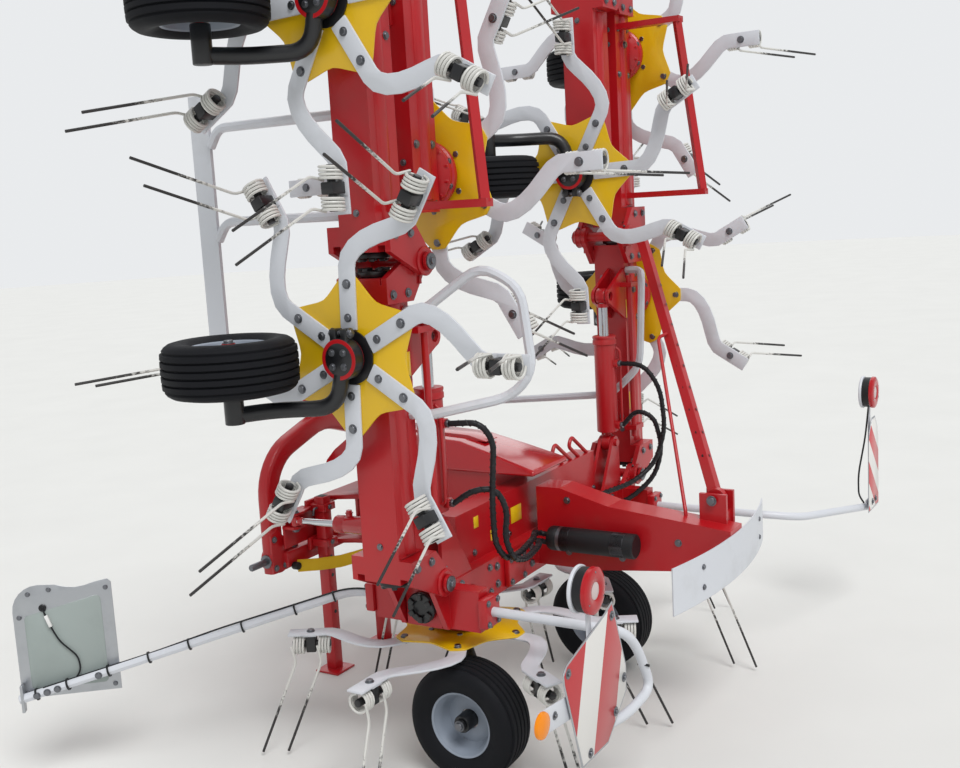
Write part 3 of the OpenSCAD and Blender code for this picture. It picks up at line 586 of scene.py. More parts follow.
class TedderSizes(bpy.types.PropertyGroup):
    """Sizes and counts of the finer pieces"""
    coil_turns: FloatProperty(name="Coil turns", description="Turns of wire in one tine coil",
                              default=4.0, min=3, max=5)
    tyre_ribs: IntProperty(name="Tyre ribs", description="Ribs across the tread of a tyre",
                           default=5, min=3, max=7)
    hose: FloatProperty(name="Hose diameter", description="Outer diameter of the hydraulic hoses",
                        default=0.02, min=0.012, max=0.03, unit="LENGTH")
    bolt: FloatProperty(name="Arm bolt", description="Half the width across the corners of an arm bolt",
                        default=0.012, min=0.008, max=0.016, unit="LENGTH")


def colour(name, about, value):
    """A colour setting that starts at the given hex value"""
    return FloatVectorProperty(name=name, description=about, subtype="COLOR", size=3, min=0, max=1,
                               default=linear(value)[:3])


class TedderColours(bpy.types.PropertyGroup):
    """Colours of the machine's main finishes"""
    red: colour("Frame", "Colour of the frame's enamel", "#B30F19")
    yellow: colour("Rotor plates", "Colour of the rotor plates", "#E0B400")
    white: colour("Arms and tubes", "Colour of the tine arms and guards", "#D0D3D9")
    cream: colour("Tine coils", "Colour of the spring coils", "#D2D1CC")


# Rotors


def arm_centre(r):
    """Middle line of a tine arm at radius r: angle in degrees"""
    u = min(max((r - BEND_FROM_R) / BEND_OVER, 0), 1)
    return ARM_SWEEP * u * u * (3 - 2 * u)


def arm_line():
    """Points of the arm's middle line with their side direction"""
    radii = [ARM_IN_R] + [245 + (ARM_OUT_R - 245) * i / 13 for i in range(14)]
    line = [Vector((r * math.cos(math.radians(arm_centre(r))), r * math.sin(math.radians(arm_centre(r)))))
            for r in radii]
    sides = []
    for i in range(len(line)):
        along = (line[min(i + 1, len(line) - 1)] - line[max(i - 1, 0)]).normalized()
        sides.append(Vector((-along.y, along.x)))
    return line, sides


def coil_points(centre, turns, step=16):
    """Centre line of one coil, wound outward along +X"""
    r = COIL_R - WIRE_R
    count = int(turns * step)
    pitch = (COIL_LEN - 2 * WIRE_R) / turns
    points = []
    for k in range(count + 1):
        a = math.tau * k / step + math.pi / 2
        points.append(Vector((centre - COIL_LEN / 2 + WIRE_R + pitch * k / step, r * math.cos(a),
                              COIL_Z + r * math.sin(a))))
    return points


def tine_points(centre):
    """Centre line of a tine, from its coil down to the tip"""
    y = -COIL_R + WIRE_R
    start = Vector((centre + COIL_LEN / 2 - WIRE_R, y, COIL_Z))
    return rounded([start + Vector((0, 0, 4)), Vector((centre + 10, y, COIL_Z - 58)),
                    Vector((centre + TINE_LEAN, y - 20, TIP_Z))], 16, 4)


def arm_mesh(bolt, turns):
    """One tine arm with its clamp, two coils, two tines and bolts, along +X at bolt angle zero"""
    line, sides = arm_line()
    near = [tuple(p - s * ARM_HALF_W) for p, s in zip(line, sides)]
    far = [tuple(p + s * ARM_HALF_W) for p, s in zip(line, sides)]
    under = PLATE_Z - ARM_T
    arm = Piece("arm", "root")
    arm.add(plate(near + far[::-1], ARM_T, 2.0), WHITE, move(0, 0, under))
    for r, size in ARM_BOLTS:
        arm.bolt(bolt * size, move(r, 0, under) @ DOWN)
        arm.bolt(bolt * size, move(r, 0, PLATE_Z + PLATE_T))
    swept = turn("Z", ARM_SWEEP)
    inner, outer = COIL_IN_R, COIL_IN_R + COIL_STEP
    half = COIL_LEN / 2
    core = drum(13, COIL_STEP + COIL_LEN - 6, 2, 12)
    arm.add(core, BLACK, swept @ move(inner - half + 3, 0, COIL_Z) @ TO_RIGHT)
    arm.add(block((inner + half + 2, -22, COIL_Z - 26), (outer - half - 2, 22, under), 4), BLACK, swept)
    arm.bolt(12, swept @ move((inner + outer) / 2, 0, PLATE_Z))
    arm.add(block((inner + half - 4, -30, under - 3), (outer - half + 4, 30, under), 1.5), WHITE, swept)
    for centre in (inner, outer):
        arm.add(sweep(coil_points(centre, turns), circle(WIRE_R, 6)), COIL_ENAMEL, swept)
        wire = sweep(tine_points(centre), circle(WIRE_R, 6))
        layer = wire.verts.layers.float.new("worn")
        for vert in wire.verts:
            vert[layer] = min(max((COIL_Z - vert.co.z) / (COIL_Z - TIP_Z), 0), 1)
        arm.add(wire, COIL_ENAMEL, swept)
    mesh = bpy.data.meshes.new("arm")
    arm.bm.to_mesh(mesh)
    arm.bm.free()
    return mesh, arm.finishes


def star_plate():
    """Pressed rotor plate with six tips and a shallow rib that follows its edge"""
    points = []
    for k in range(6):
        points += arc(0, 0, 246, 60 * k - 6, 60 * k + 6, 2)
        for a in (10, 14, 19, 24, 30, 36, 41, 46, 50):
            r = 197 + 49 * (abs(a - 30) / 24) ** 1.7
            points += arc(0, 0, r, 60 * k + a, 60 * k + a, 1)[:1]
    shell = plate(points, PLATE_T, 0)
    tops = [f for f in shell.faces if abs(f.normal.z) > 0.9 and f.calc_center_median().z > PLATE_T / 2]
    bmesh.ops.inset_region(shell, faces=tops, thickness=14, depth=0, use_even_offset=True)
    tops = [f for f in shell.faces if f.normal.z > 0.9 and len(f.verts) > 8]
    bmesh.ops.inset_region(shell, faces=tops, thickness=8, depth=4, use_even_offset=True)
    return soften(shell, 1.2)


def rotor(n, side, arm, finishes):
    """One rotor: its plate with the collar and six arms; even rotors turn the other way"""
    piece = Piece(f"rotor_{n}_{side}_arms_and_plate", f"rotor_{n}_{side}",
                  folded(n, side) @ move(ROTOR_X[n - 1], 0, 0) @ turn("Z", bolt_angle(n, side)))
    hand = Matrix.Identity(4) if n % 2 else Matrix.Scale(-1, 4, (0, 1, 0))
    for k in range(6):
        piece.copy(arm, finishes, hand @ turn("Z", 60 * k))
    piece.add(star_plate(), YELLOW, move(0, 0, PLATE_Z))
    piece.add(lathe([(40.2, 0.5), (84, 0.5), (84, 6), (76, 10), (72, 18), (66, 22), (40.2, 22)]),
              BLACK, move(0, 0, PLATE_Z - 8))
    for k in range(6):
        piece.bolt(8, turn("Z", 60 * k + 30) @ move(58, 0, PLATE_Z + 13))
    piece.done([f"rotor_plate_{n}_{side}", f"tine_arms_{n}_{side}"])


class TEDDER_OT_rotors(bpy.types.Operator):
    """Eight rotors: star plate, six flat arms, twelve coils with their tines"""
    bl_idname = "tedder.rotors"
    bl_label = "Rotors"

    def execute(self, context):
        sizes = context.scene.tedder_sizes
        arm, finishes = arm_mesh(sizes.bolt * 1000, sizes.coil_turns)
        for side in SIDES:
            for n in range(1, 5):
                rotor(n, side, arm, finishes)
        bpy.data.meshes.remove(arm)
        return {"FINISHED"}


# Wheels


def tyre_profile(ribs):
    """Half-round shoulders with ribs and grooves across the tread, as (radius, height) points"""
    w = TYRE_W / 2
    edge = w - 26

    def crown(z):
        """Radius of the tread's top at height z"""
        return TYRE_R - 1 - 5 * (z / w) ** 2

    tread = []
    for k in range(ribs):
        a = -edge + 2 * edge * k / ribs
        b = -edge + 2 * edge * (k + 1) / ribs
        top_a, top_b = crown(a + 3), crown(b - 3)
        tread += [(top_a - 8, a + 1), (top_a, a + 4), (top_b, b - 4), (top_b - 8, b - 1)]
    shoulder = [(112, 20), (118, 14), (140, 3), (160, 0), (178, 4), (190, 12), (196, 20)]
    low = [(r, z - w) for r, z in shoulder]
    return low + tread + [(r, -z) for r, z in low[::-1]]


def wheel_shells(piece, ribs, at):
    """Tyre, pressed rim, hub and bolts on an axle along Z"""
    piece.add(lathe(tyre_profile(ribs), 72), TREAD, at)
    w = TYRE_W / 2
    dish = [(92, 26), (84, 10), (62, 4), (34, 4), (34, -4), (62, -4), (84, 2), (97, -20)]
    lip = [(117, w - 20), (113, w - 16), (107, w - 20), (104, w - 30), (96, w - 40)]
    back = [(97, w - 40), (104, w - 30), (107, w - 20), (113, w - 16), (117, w - 20), (112, w - 36),
            (103, w - 44)]
    rim = lip + dish + [(r, -z) for r, z in back] + [(103, w - 44), (112, w - 36)]
    piece.add(lathe(rim, 48), "grey_rim_enamel", at)
    hub = [(12.6, -58), (28, -58), (30, -54), (32, -14)]
    piece.add(lathe(hub + [(r, -z) for r, z in hub[::-1]], 32), BLACK, at)
    for k in range(5):
        piece.bolt(8, at @ turn("Z", 72 * k) @ move(48, 0, 4))


class TEDDER_OT_wheels(bpy.types.Operator):
    """Eight ground wheels with ribbed tyres on pressed rims"""
    bl_idname = "tedder.wheels"
    bl_label = "Wheels"

    def execute(self, context):
        ribs = context.scene.tedder_sizes.tyre_ribs
        for side in SIDES:
            for n in range(1, 5):
                place = WORLD if n == 1 else folded(n, side)
                x, y = ROTOR_X[n - 1], WHEEL_AHEAD
                if n == 1:
                    x, y = SIDES[side] * x + CENTRE_WHEEL[0], CENTRE_WHEEL[1]
                piece = Piece(f"wheel_{n}_{side}_tyre_and_rim", f"wheel_{n}_{side}", place)
                wheel_shells(piece, ribs, move(x, y, TYRE_R) @ TO_RIGHT)
                piece.done([f"wheel_{n}_{side}"])
        return {"FINISHED"}


# Legs and gear housings


def outer_leg(piece):
    """Clamp round the spindle and the bent leg of an outer wheel, about the rotor axis"""
    path = [(0, 0, LEG_TOP), (-150, 30, LEG_TOP), (-150, 210, LEG_TOP - 90), (-150, WHEEL_AHEAD, TYRE_R)]
    piece.add(tube(path, 25.4, 70, 18), BLACK)
    axle = move(0, WHEEL_AHEAD, TYRE_R) @ TO_RIGHT
    piece.add(drum(30, 114, 3, 24), BLACK, axle @ move(0, 0, -176))
    piece.add(drum(18, 5, 1, 24), ZINC, axle @ move(0, 0, 60.5))
    piece.bolt(15, axle @ move(0, 0, 69), 10)
    hub_clamp(piece)


def centre_leg(piece):
    """Bent leg of a wheel under the centre frame, about the rotor axis"""
    y = CENTRE_WHEEL[1]
    path = [(0, 0, LEG_TOP), (-68, -60, LEG_TOP - 30), (-78, y, TYRE_R)]
    piece.add(tube(path, 25.4, 70, 18), BLACK)
    piece.add(drum(30, 86, 3, 24), BLACK, move(-139, y, TYRE_R) @ TO_RIGHT)
    piece.bolt(15, move(-269, y, TYRE_R) @ TO_LEFT, 10)
    hub_clamp(piece)


def hub_clamp(piece):
    """Split clamp with its flange, two ears and cap under the rotor"""
    piece.add(lathe([(0, 376), (44, 376), (50, 380), (63, 382), (64, 386), (64, 420), (60, 425), (0, 425)],
                    36), BLACK)
    for s in (-1, 1):
        piece.add(block((50, s * 20 - 12, 384), (92, s * 20 + 12, 422), 4), BLACK)
    piece.add(drum(8, 84, 1, 16), ZINC, move(78, 42, 403) @ TO_REAR)
    for s in (-1, 1):
        piece.bolt(13, move(78, s * 32, 403) @ turn("X", -90 * s))
    for k in range(4):
        piece.bolt(9, turn("Z", 90 * k + 45) @ move(30, 0, 376) @ DOWN)


class TEDDER_OT_legs(bpy.types.Operator):
    """Black clamps and bent legs that carry the wheels"""
    bl_idname = "tedder.legs"
    bl_label = "Legs"

    def execute(self, context):
        for side in SIDES:
            for n in range(2, 5):
                piece = Piece(f"leg_{n}_{side}", f"section_{n}_{side}",
                              folded(n, side) @ move(ROTOR_X[n - 1], 0, 0))
                outer_leg(piece)
                piece.done()
            piece = Piece(f"leg_1_{side}", "root", WORLD @ move(SIDES[side] * ROTOR_X[0], 0, 0))
            centre_leg(piece)
            piece.done()
        return {"FINISHED"}


def gear_housing(piece):
    """Cast housing over the rotor: bolted flange, ribs and filler plug, about the rotor axis"""
    piece.add(lathe([(100, 466), (109, 466), (113, 470), (113, 484), (109, 488), (106.5, 490), (106, 500),
                     (90, 508.5), (70, 519.5), (60, 519.5), (60, 466)], 48), RED)
    for k in range(12):
        piece.add(block((60, -5, 492), (104, 5, 506), 2), RED, turn("Z", 30 * k + 15) @ move(-1, 0, 2))
    for k in range(8):
        piece.bolt(9, turn("Z", 45 * k + 22) @ move(103, 0, 489))
    for s in (-1, 1):
        piece.add(drum(22, 10, 2, 24), RED, move(30, s * HALF_Y, BEAM_MID) @ turn("X", -90 * s))
        piece.bolt(13, move(30, s * (HALF_Y + 10), BEAM_MID) @ turn("X", -90 * s))
        for dx in (-95, 95):
            for dz in (-45, 45):
                piece.bolt(11, move(dx, s * HALF_Y, BEAM_MID + dz) @ turn("X", -90 * s))


# Where the beam of each section starts and ends
BEAM_ENDS = {2: (925, 1725), 3: (1975, 2775), 4: (3025, 3755)}


def beam_faces(piece, n):
    """Folded side faces of a section's beam, with weld beads at their ends and bolts along the top"""
    low, high = BEAM_ENDS[n]
    fold = [(-10, 548), (-10, 620), (8, 606), (13, 586), (8, 562)]
    for s in (-1, 1):
        face = [(s * (HALF_Y + y), z) for y, z in fold]
        length = high - low
        piece.add(plate(face, length, 3), RED, facing_x(low))
        for x in (low - 6, high + 2):
            piece.add(tube([(x, s * (HALF_Y - 2), 530), (x + 2, s * (HALF_Y + 1), 590),
                            (x, s * (HALF_Y - 2), 650)], 4, 20, 6), RED)
    for x in (low + 60, low + 120, high - 120, high - 60):
        piece.bolt(9, move(x, -34, BEAM_TOP))
        piece.bolt(9, move(x, 34, BEAM_TOP))
    for x in (low + 30, high - 30):
        piece.bolt(9, move(x, 0, BEAM_LOW) @ DOWN)
    if n == 2:
        for x in (low + 150, low + 560):
            piece.add(block((x, -HALF_Y - 0.9, 626), (x + 80, -HALF_Y + 0.2, 654), 0.3), YELLOW_FILM)
    piece.add(block((low + 90, -26, BEAM_TOP - 1), (low + 190, 26, BEAM_TOP + 8), 3), RED)


def hinge_boss(piece, place, s, inner):
    """Boss round the hinge pin on one side, with what sits on it, and two bolts below"""
    face = turn("X", -90 * s)
    if inner:
        ring = [(24, 0), (46, 0), (46, 3), (42, 6), (30, 6), (24, 6)]
        piece.add(drum(26, 5, 1.5, 28), ZINC, place @ move(0, s * 140, 0) @ face)
        piece.bolt(12, place @ move(0, s * 145, 0) @ face)
        piece.add(block((-70, -6, -3), (-46, 6, 3), 1), RED, place @ move(0, s * 98, -4) @ face)
    else:
        ring = [(24, 0), (46, 0), (46, 4), (41, 8), (30, 8), (24, 8)]
        piece.add(drum(4, 12, 1, 10), ZINC, place @ move(38, s * 108, 22) @ turn("Y", 40))
    y = s * (95 if inner else 118)
    piece.add(lathe(ring, 36), RED, place @ move(0, y, 0) @ face)
    for dz in (-70, -150):
        piece.bolt(12, place @ move(-92 if inner else 92, y, dz) @ face)


def hinge_fittings(piece, at, inner):
    """What shows on a fold hinge: bosses, pin ends, bolts and one half of the shaft's claw coupling"""
    place = move(at, 0, HINGE_Z)
    for s in (-1, 1):
        hinge_boss(piece, place, s, inner)
    out = 1 if inner else -1
    half = place @ move(-46 * out, 0, -110) @ turn("Y", 90 * out)
    cup = [(0, 0), (40, 0), (40, 8), (52, 10), (54, 14), (54, 24), (50, 28), (30, 28), (26, 22), (0, 22)]
    piece.add(lathe(cup, 36), BLACK, half)
    for k in range(6):
        claw = half @ turn("Z", 60 * k + (0 if inner else 30))
        piece.add(block((28, -9, 26), (50, 9, 36), 2), BLACK, claw)


class TEDDER_OT_housings(bpy.types.Operator):
    """Gear housings on every rotor and the fittings of every fold hinge"""
    bl_idname = "tedder.housings"
    bl_label = "Housings"

    def execute(self, context):
        for side in SIDES:
            for n in range(1, 5):
                body = "root" if n == 1 else f"section_{n}_{side}"
                place = WORLD @ on_side(side) if n == 1 else folded(n, side)
                piece = Piece(f"housing_{n}_{side}", body, place @ move(ROTOR_X[n - 1], 0, 0))
                gear_housing(piece)
                piece.done()
                if n > 1:
                    faces = Piece(f"beam_faces_{n}_{side}", body, place)
                    beam_faces(faces, n)
                    faces.done()
                if n < 4:
                    fittings = Piece(f"hinge_{n}_{side}_inner", body, place)
                    hinge_fittings(fittings, HINGE_X[n - 1], True)
                    fittings.done()
                if n > 1:
                    fittings = Piece(f"hinge_{n - 1}_{side}_outer", body, place)
                    hinge_fittings(fittings, HINGE_X[n - 2], False)
                    fittings.done()
        return {"FINISHED"}


# Warning boards and lamps


def front_board(side):
    """Aluminium board with a rounded corner, a dip in its top edge and a film panel, on a tied tube"""
    heading = turn("Z", math.degrees(math.atan2(BOARD_RUN[1], BOARD_RUN[0])))
    piece = Piece(f"board_front_{side}_plate", "root",
                  WORLD @ on_side(side) @ move(*BOARD_AT) @ heading @ TO_REAR)
    w, h = 338, 404
    outline = [(-w, 4), (-4, 4), (-4, h - 90)] + arc(-94, h - 90, 90, 0, 90, 6)[1:]
    outline += [(-150, h - 4), (-180, h - 14), (-215, h - 20), (-250, h - 16), (-280, h - 8), (-w + 12, h)]
    outline.append((-w, h - 12))
    piece.add(plate(outline, 2.9, 0.6), ALUMINIUM, move(0, 0, BOARD_BACK - 2.9))
    film = []
    for x, y, start in ((-w + 56, 50, 180), (-56, 50, 270), (-56, h - 120, 0), (-w + 56, h - 70, 90)):
        film += arc(x, y, 16, start, start + 90, 4)
    piece.add(plate(film, 0.8, 0.2), "dull_film", move(0, 0, BOARD_BACK))
    front = [(-w + 6, 8), (-8, 8), (-8, h - 100), (-w + 6, h - 30)]
    piece.add(plate(front, 0.8, 0.2), "stripes_leaning_left", move(0, 0, -20.1))
    for x, y in ((20 - w, 24), (20 - w, h - 30), (-24, 24), (-24, h - 110), (-60, h - 30), (-130, h - 20)):
        piece.bolt(7, move(x, y, BOARD_BACK))
    grommet = [(3, 0), (12, 0), (13, 3), (9, 6), (3, 6)]
    piece.add(lathe(grommet, 20), RUBBER, move(-104, 322, BOARD_BACK))
    cable = [(-104, 322, -12), (-112, 300, -6), (-128, 250, -7), (-150, 200, -8), (-205, 140, -7),
             (-210, 90, -6), (-180, 50, -4), (-170, 30, 4)]
    piece.add(tube(cable, 3, 20, 8), RUBBER)
    piece.add(block((-6, -22, -6), (6, 22, 6), 2), "white_film", move(-120, 276, -8) @ turn("Z", -18))
    for x in (-60, -95, -130, -270):
        piece.bolt(10, move(x, 8 - 0.232 * x, 15))
    piece.add(block((-16, -36, -14), (-6, 60, 16), 2), ALUMINIUM)
    piece.done([f"board_front_{side}"])


# Outlines of the rear boards, about their tubes
POINTED = ((-128, 421), (-70, 400), (185, 338), (206, 318), (204, 290), (112, 2), (-62, 2), (-205, 112),
           (-210, 190))
NARROW = ((-96, 4), (96, 4), (96, 320), (80, 360), (30, 420), (-30, 420), (-80, 360), (-96, 320))


def rear_board(side, outline, low, at_x, at_y, stripes, spots):
    """Striped board with a pointed top, bolted through large washers"""
    piece = Piece(f"board_rear_{side}_plate", "root", WORLD @ on_side(side))
    back = move(at_x, at_y + BOARD_BACK, low) @ TO_REAR
    piece.add(plate(outline, 2.8, 0.6), ALUMINIUM, back)
    inset = [(x * 0.965, 7 + y * 0.965) for x, y in outline]
    piece.add(plate(inset, 0.8, 0.2), stripes, back @ move(0, 0, 2.7))
    for x, y in spots:
        piece.add(drum(15, 1.6, 0.4, 24), ZINC, back @ move(x, y, 3.4))
        piece.bolt(8, back @ move(x, y, 5), 5, False)
    piece.done([f"board_rear_{side}"])


# Middle lines of the tubes behind the rear boards
REAR_TUBES = {
    "left": [(710, -210.5, 590), (710, -600, 590), (664, -690, 572), (600, -704, 500), (512, -712, 330),
             (700, -709, 316), (860, -702, 340)],
    "right": [(710, -210.5, 590), (710, -700, 590), (790, -840, 570), (1380, -985, 480)],
}


def rear_tube(side, at_x, at_y, low, lamp_z):
    """Bent tube behind a rear board with the stalk and back plate of its lamp"""
    piece = Piece(f"board_arm_rear_{side}_tube", "root", WORLD @ on_side(side))
    piece.add(tube(REAR_TUBES[side], 16, 70, 20), WHITE)
    piece.add(block((at_x - 12, at_y - 4, low), (at_x + 12, at_y + 3, lamp_z), 1.5), WHITE)
    piece.add(block((at_x - 60, at_y - 3, low + 8), (at_x + 30, at_y + 4, low + 50), 1.5), WHITE)
    round_lamp(piece, at_x, at_y, lamp_z)
    piece.done([f"board_arm_rear_{side}"])


def reflector_arm(piece):
    """Amber reflector on a flat white arm beside the left board"""
    back = move(-REAR_LEFT[0], REAR_LEFT[1] - 7, 310) @ TO_REAR
    piece.add(plate([(-340, 190), (-340, 262), (-140, 240), (-140, 168)], 4, 1), WHITE, back)
    lens = [(0, 0), (37, 0), (38, 4), (36, 10), (24, 15), (0, 17)]
    piece.add(lathe(lens, 40), "amber_lens", back @ move(-330, 226, 4))
    piece.add(drum(12, 2, 0.5, 20), ZINC, back @ move(-250, 220, 4))
    piece.bolt(7, back @ move(-250, 220, 6), 5, False)


def round_lamp(piece, at_x, at_y, z):
    """Round rear lamp: white back, black housing, red lens with rings; the lens faces the rear"""
    at = move(at_x, at_y + 30, z) @ TO_REAR
    ring = [(26, 42), (68, 42), (70, 45), (69, 56), (62, 60), (46, 61.5), (30, 60), (26, 57)]
    for profile, sides, finish in (
            ([(0, -0.5), (69, -0.5), (71, 2), (71, 8), (69, 11), (0, 11)], 48, WHITE),
            ([(0, 11), (62, 11), (66, 15), (66, 42), (0, 42)], 48, PLASTIC),
            (ring, 48, "red_lens"),
            ([(0, 42), (26, 42), (26, 57), (22, 59), (0, 60)], 40, "clear_lens")):
        piece.add(lathe(profile, sides), finish, at)
    for k in range(3):
        piece.bolt(3, at @ turn("Z", 120 * k + 90) @ move(56, 0, 60), 2, False)


def tie(radius, half, sides=20):
    """Band round a tube of 16 mm radius"""
    return lathe([(16.2, -half), (radius, -half), (radius, half), (16.2, half)], sides)


def tied_cables(piece):
    """Thin cables tied along the white tubes, and clamps where the tubes start"""
    run_x, run_y = BOARD_RUN
    slope = math.degrees(math.atan2(BOARD_DROP, BOARD_LEN))
    for s in (-1, 1):
        cable = [(718, 216, 608), (722, 340, 604), (1010, 700, 500), (1160, 876, 440), (1400, 1168, 354)]
        piece.add(tube([(s * x, y, z) for x, y, z in cable], 3.2, 60, 8), RUBBER)
        heading = turn("Z", math.degrees(math.atan2(run_y, s * run_x))) @ turn("Y", 90 + slope)
        for u in (0.06, 0.18, 0.34, 0.5, 0.62, 0.74, 0.86, 0.95):
            at = move(s * (ARM_ROOT_X + run_x * u), 330 + run_y * u, ARM_ROOT_Z - BOARD_DROP * u)
            piece.add(tie(21, 3), PLASTIC, at @ heading)
        for y, face in ((212, TO_FRONT), (-212, TO_REAR)):
            end = y + math.copysign(34, y)
            x = s * ARM_ROOT_X
            piece.add(block((x - 44, min(y, end), 540), (x + 44, max(y, end), 640), 5), RED)
            for dx in (-30, 30):
                for z in (554, 626):
                    piece.bolt(9, move(x + dx, end, z) @ face)
    piece.add(tie(20, 4), PLASTIC, move(-560, -708, 424) @ turn("Y", 28))
    lead = [(1372, -985, 940), (1350, -975, 800), (1300, -955, 640), (1330, -950, 540), (1350, -968, 500)]
    piece.add(tube(lead, 4, 50, 8), RUBBER)


class TEDDER_OT_boards(bpy.types.Operator):
    """Four warning boards with their lamps, reflectors and cable ties"""
    bl_idname = "tedder.boards"
    bl_label = "Boards and lamps"

    def execute(self, context):
        for side in SIDES:
            front_board(side)
        rear_board("left", POINTED, 310, *REAR_LEFT, "steep_stripes",
                   ((-118, 380), (176, 312), (-188, 160), (-120, 78), (60, 26)))
        rear_board("right", NARROW, 470, *REAR_RIGHT, "stripes_leaning_left", ((-30, 40), (30, 40)))
        rear_tube("left", *REAR_LEFT, 330, 805)
        rear_tube("right", *REAR_RIGHT, 470, 1000)
        piece = Piece("cables_and_clamps", "root")
        reflector_arm(piece)
        tied_cables(piece)
        piece.done()
        return {"FINISHED"}


# Hood


class TEDDER_OT_hood(bpy.types.Operator):
    """Glossy hood with rounded shoulders over the gearbox and the drive shaft"""
    bl_idname = "tedder.hood"
    bl_label = "Hood"

    def execute(self, context):
        outline = [(-108, 901), (-108, 921), (60, 968), (232, 1013), (420, 1024), (660, 1033), (730, 1014),
                   (788, 988), (840, 946), (878, 900), (878, 864), (800, 878), (720, 892), (332, 901)]
        piece = Piece("hood_shell", "root")
        shell = plate(outline, 288, 0)
        for vert in shell.verts:
            over = max(vert.co.y - 905, 0)
            vert.co.z = 144 + (vert.co.z - 144) * (1 - 0.0021 * over)
        soften(shell, 16, 5, 28)
        piece.add(shell, GLOSSY_RED, facing_x(-144))
        crest = [(150, 1000), (150, 1003), (232, 1024), (430, 1033), (600, 1034.5), (600, 1020), (232, 1004)]
        rib = plate(crest, 90, 0)
        piece.add(soften(rib, 5, 3, 28), GLOSSY_RED, facing_x(-45))
        piece.done(["hood"])
        return {"FINISHED"}


# Headstock


def clevis_plate(piece, at_x):
    """Plate with a bushed eye for the top link, from at_x towards +X"""
    y, z = TOP_LINK
    web = [(ARCH_Y, 1176), (ARCH_Y, 1046), (1020, 1046)] + arc(y, z, 30, -40, -270, 10)
    ring = [(12.95, -8), (34, -8), (36, -6), (36, 6), (34, 8), (12.95, 8)]
    piece.add(plate(web, 15, 1.5), RED, facing_x(at_x + 0.5))
    piece.add(lathe(ring, 40), RED, move(at_x + 8, y, z) @ TO_RIGHT)


def headstock_frame(piece):
    """Bent arch tube with its feet, cross bar, swivel lugs and top link clevis"""
    half = [(-372, 476), (-372, 785)] + arc(-167, 785, 205, 180, 108)[1:] + [(-110, 1018), (-50, 1035)]
    path = [(x, ARCH_Y, z) for x, z in half + [(0, 1040)] + [(-x, z) for x, z in half[::-1]]]
    piece.add(sweep(path, oblong(42, 29, 20)), RED)
    for low, high, edge in (((-344, 948, 486), (344, 1020, 556), 9), ((-228, 921, 531), (228, 940, 586), 5),
                            ((-228, 921, 700), (228, 940, 744), 5), ((-60, 985, 1062), (60, 1026, 1092), 8)):
        piece.add(block(low, high, edge), RED)
    lug = arc(0, SWIVEL_Y, 55, 180, 360, 12) + [(80, 800), (138, 938), (-138, 938), (-80, 800)]
    for z in (535.3, 725.3):
        piece.add(plate(lug, 19.4, 3), RED, move(0, 0, z))
    piece.add(drum(29.8, 209, 1), ZINC, move(0, SWIVEL_Y, 535.5))
    for end in (move(0, SWIVEL_Y, 745), move(0, SWIVEL_Y, 535) @ DOWN):
        piece.add(drum(44, 7, 2), ZINC, end)
        piece.bolt(16, end @ move(0, 0, 7))
    for at_x in (-42, 26):
        clevis_plate(piece, at_x)
    for s in (-1, 1):
        headstock_side(piece, s)


def headstock_side(piece, s):
    """Foot, hitch pin, damper bracket and stand sleeves of one side"""
    piece.add(drum(59, 56, 4, 40), RED, move(s * 360, 972, HITCH_Z) @ TO_FRONT)
    web = ((412, 478), (412, 640), (372, 660), (322, 604), (250, 590), (250, 478))
    piece.add(plate([(s * x, z) for x, z in web], 10, 2), RED, facing_y(978))
    for x, z in ((395, 500), (395, 620), (340, 500), (275, 560)):
        piece.bolt(11, move(s * x, 968, z) @ TO_REAR)
    pin = [(0, 0), (28, 0), (28, 20), (26, 22), (14, 22), (14, 106), (11, 110), (0, 110)]
    piece.add(lathe(pin, 36), ZINC, move(s * 400, ARCH_Y, HITCH_Z) @ turn("Y", 90 * s))
    piece.add(block((s * 114, 921.5, 580), (s * 152, 939.5, 706), 3), RED)
    piece.add(block((s * 131, 939.8, 574), (s * 362, 949.6, 720), 3), RED)
    corners = ((228, 949), (228, 902), (300, 882), (340, 881), (360, 893), (364, 949))
    bracket = [(s * x, y) for x, y in corners]
    for z in (656.1, 712.1):
        piece.add(plate(bracket, 11.8, 2), RED, move(0, 0, z))
    piece.bolt(15, move(s * 335, 900, 724))
    piece.bolt(15, move(s * 335, 900, 656) @ DOWN)
    for z in (550, 700):
        stand = move(s * STAND_X, STAND_Y, z)
        walls = ((-37, -37, -25.4, 37), (25.4, -37, 37, 37), (-26, -37, 26, -25.4), (-26, 25.4, 26, 40))
        for x0, y0, x1, y1 in walls:
            piece.add(block((x0, y0, 0), (x1, y1, 29.5), 1.2), RED, stand)
        piece.bolt(9, stand @ move(0, -37, 15) @ TO_REAR)
    x = s * STAND_X
    handle = [(x + s * 38, STAND_Y, 716), (x + s * 60, STAND_Y, 716), (x + s * 64, STAND_Y, 690)]
    piece.add(tube(handle, 5, 12, 10), ZINC)


def webbing(piece):
    """Yellow belt from the left foot to the lower swivel lug"""
    top = [(0, 512), (90, 506), (180, 506), (322, 526)]
    low = [(322, 474), (180, 454), (90, 454), (0, 460)]
    piece.add(plate(top + low, 4, 0.6), "yellow_webbing",
              move(-300, 938, 0) @ turn("Z", math.degrees(math.atan2(-215, 240))) @ TO_REAR)
    piece.add(drum(16, 30, 3, 20), PLASTIC, move(-312, 948, 490) @ TO_REAR)


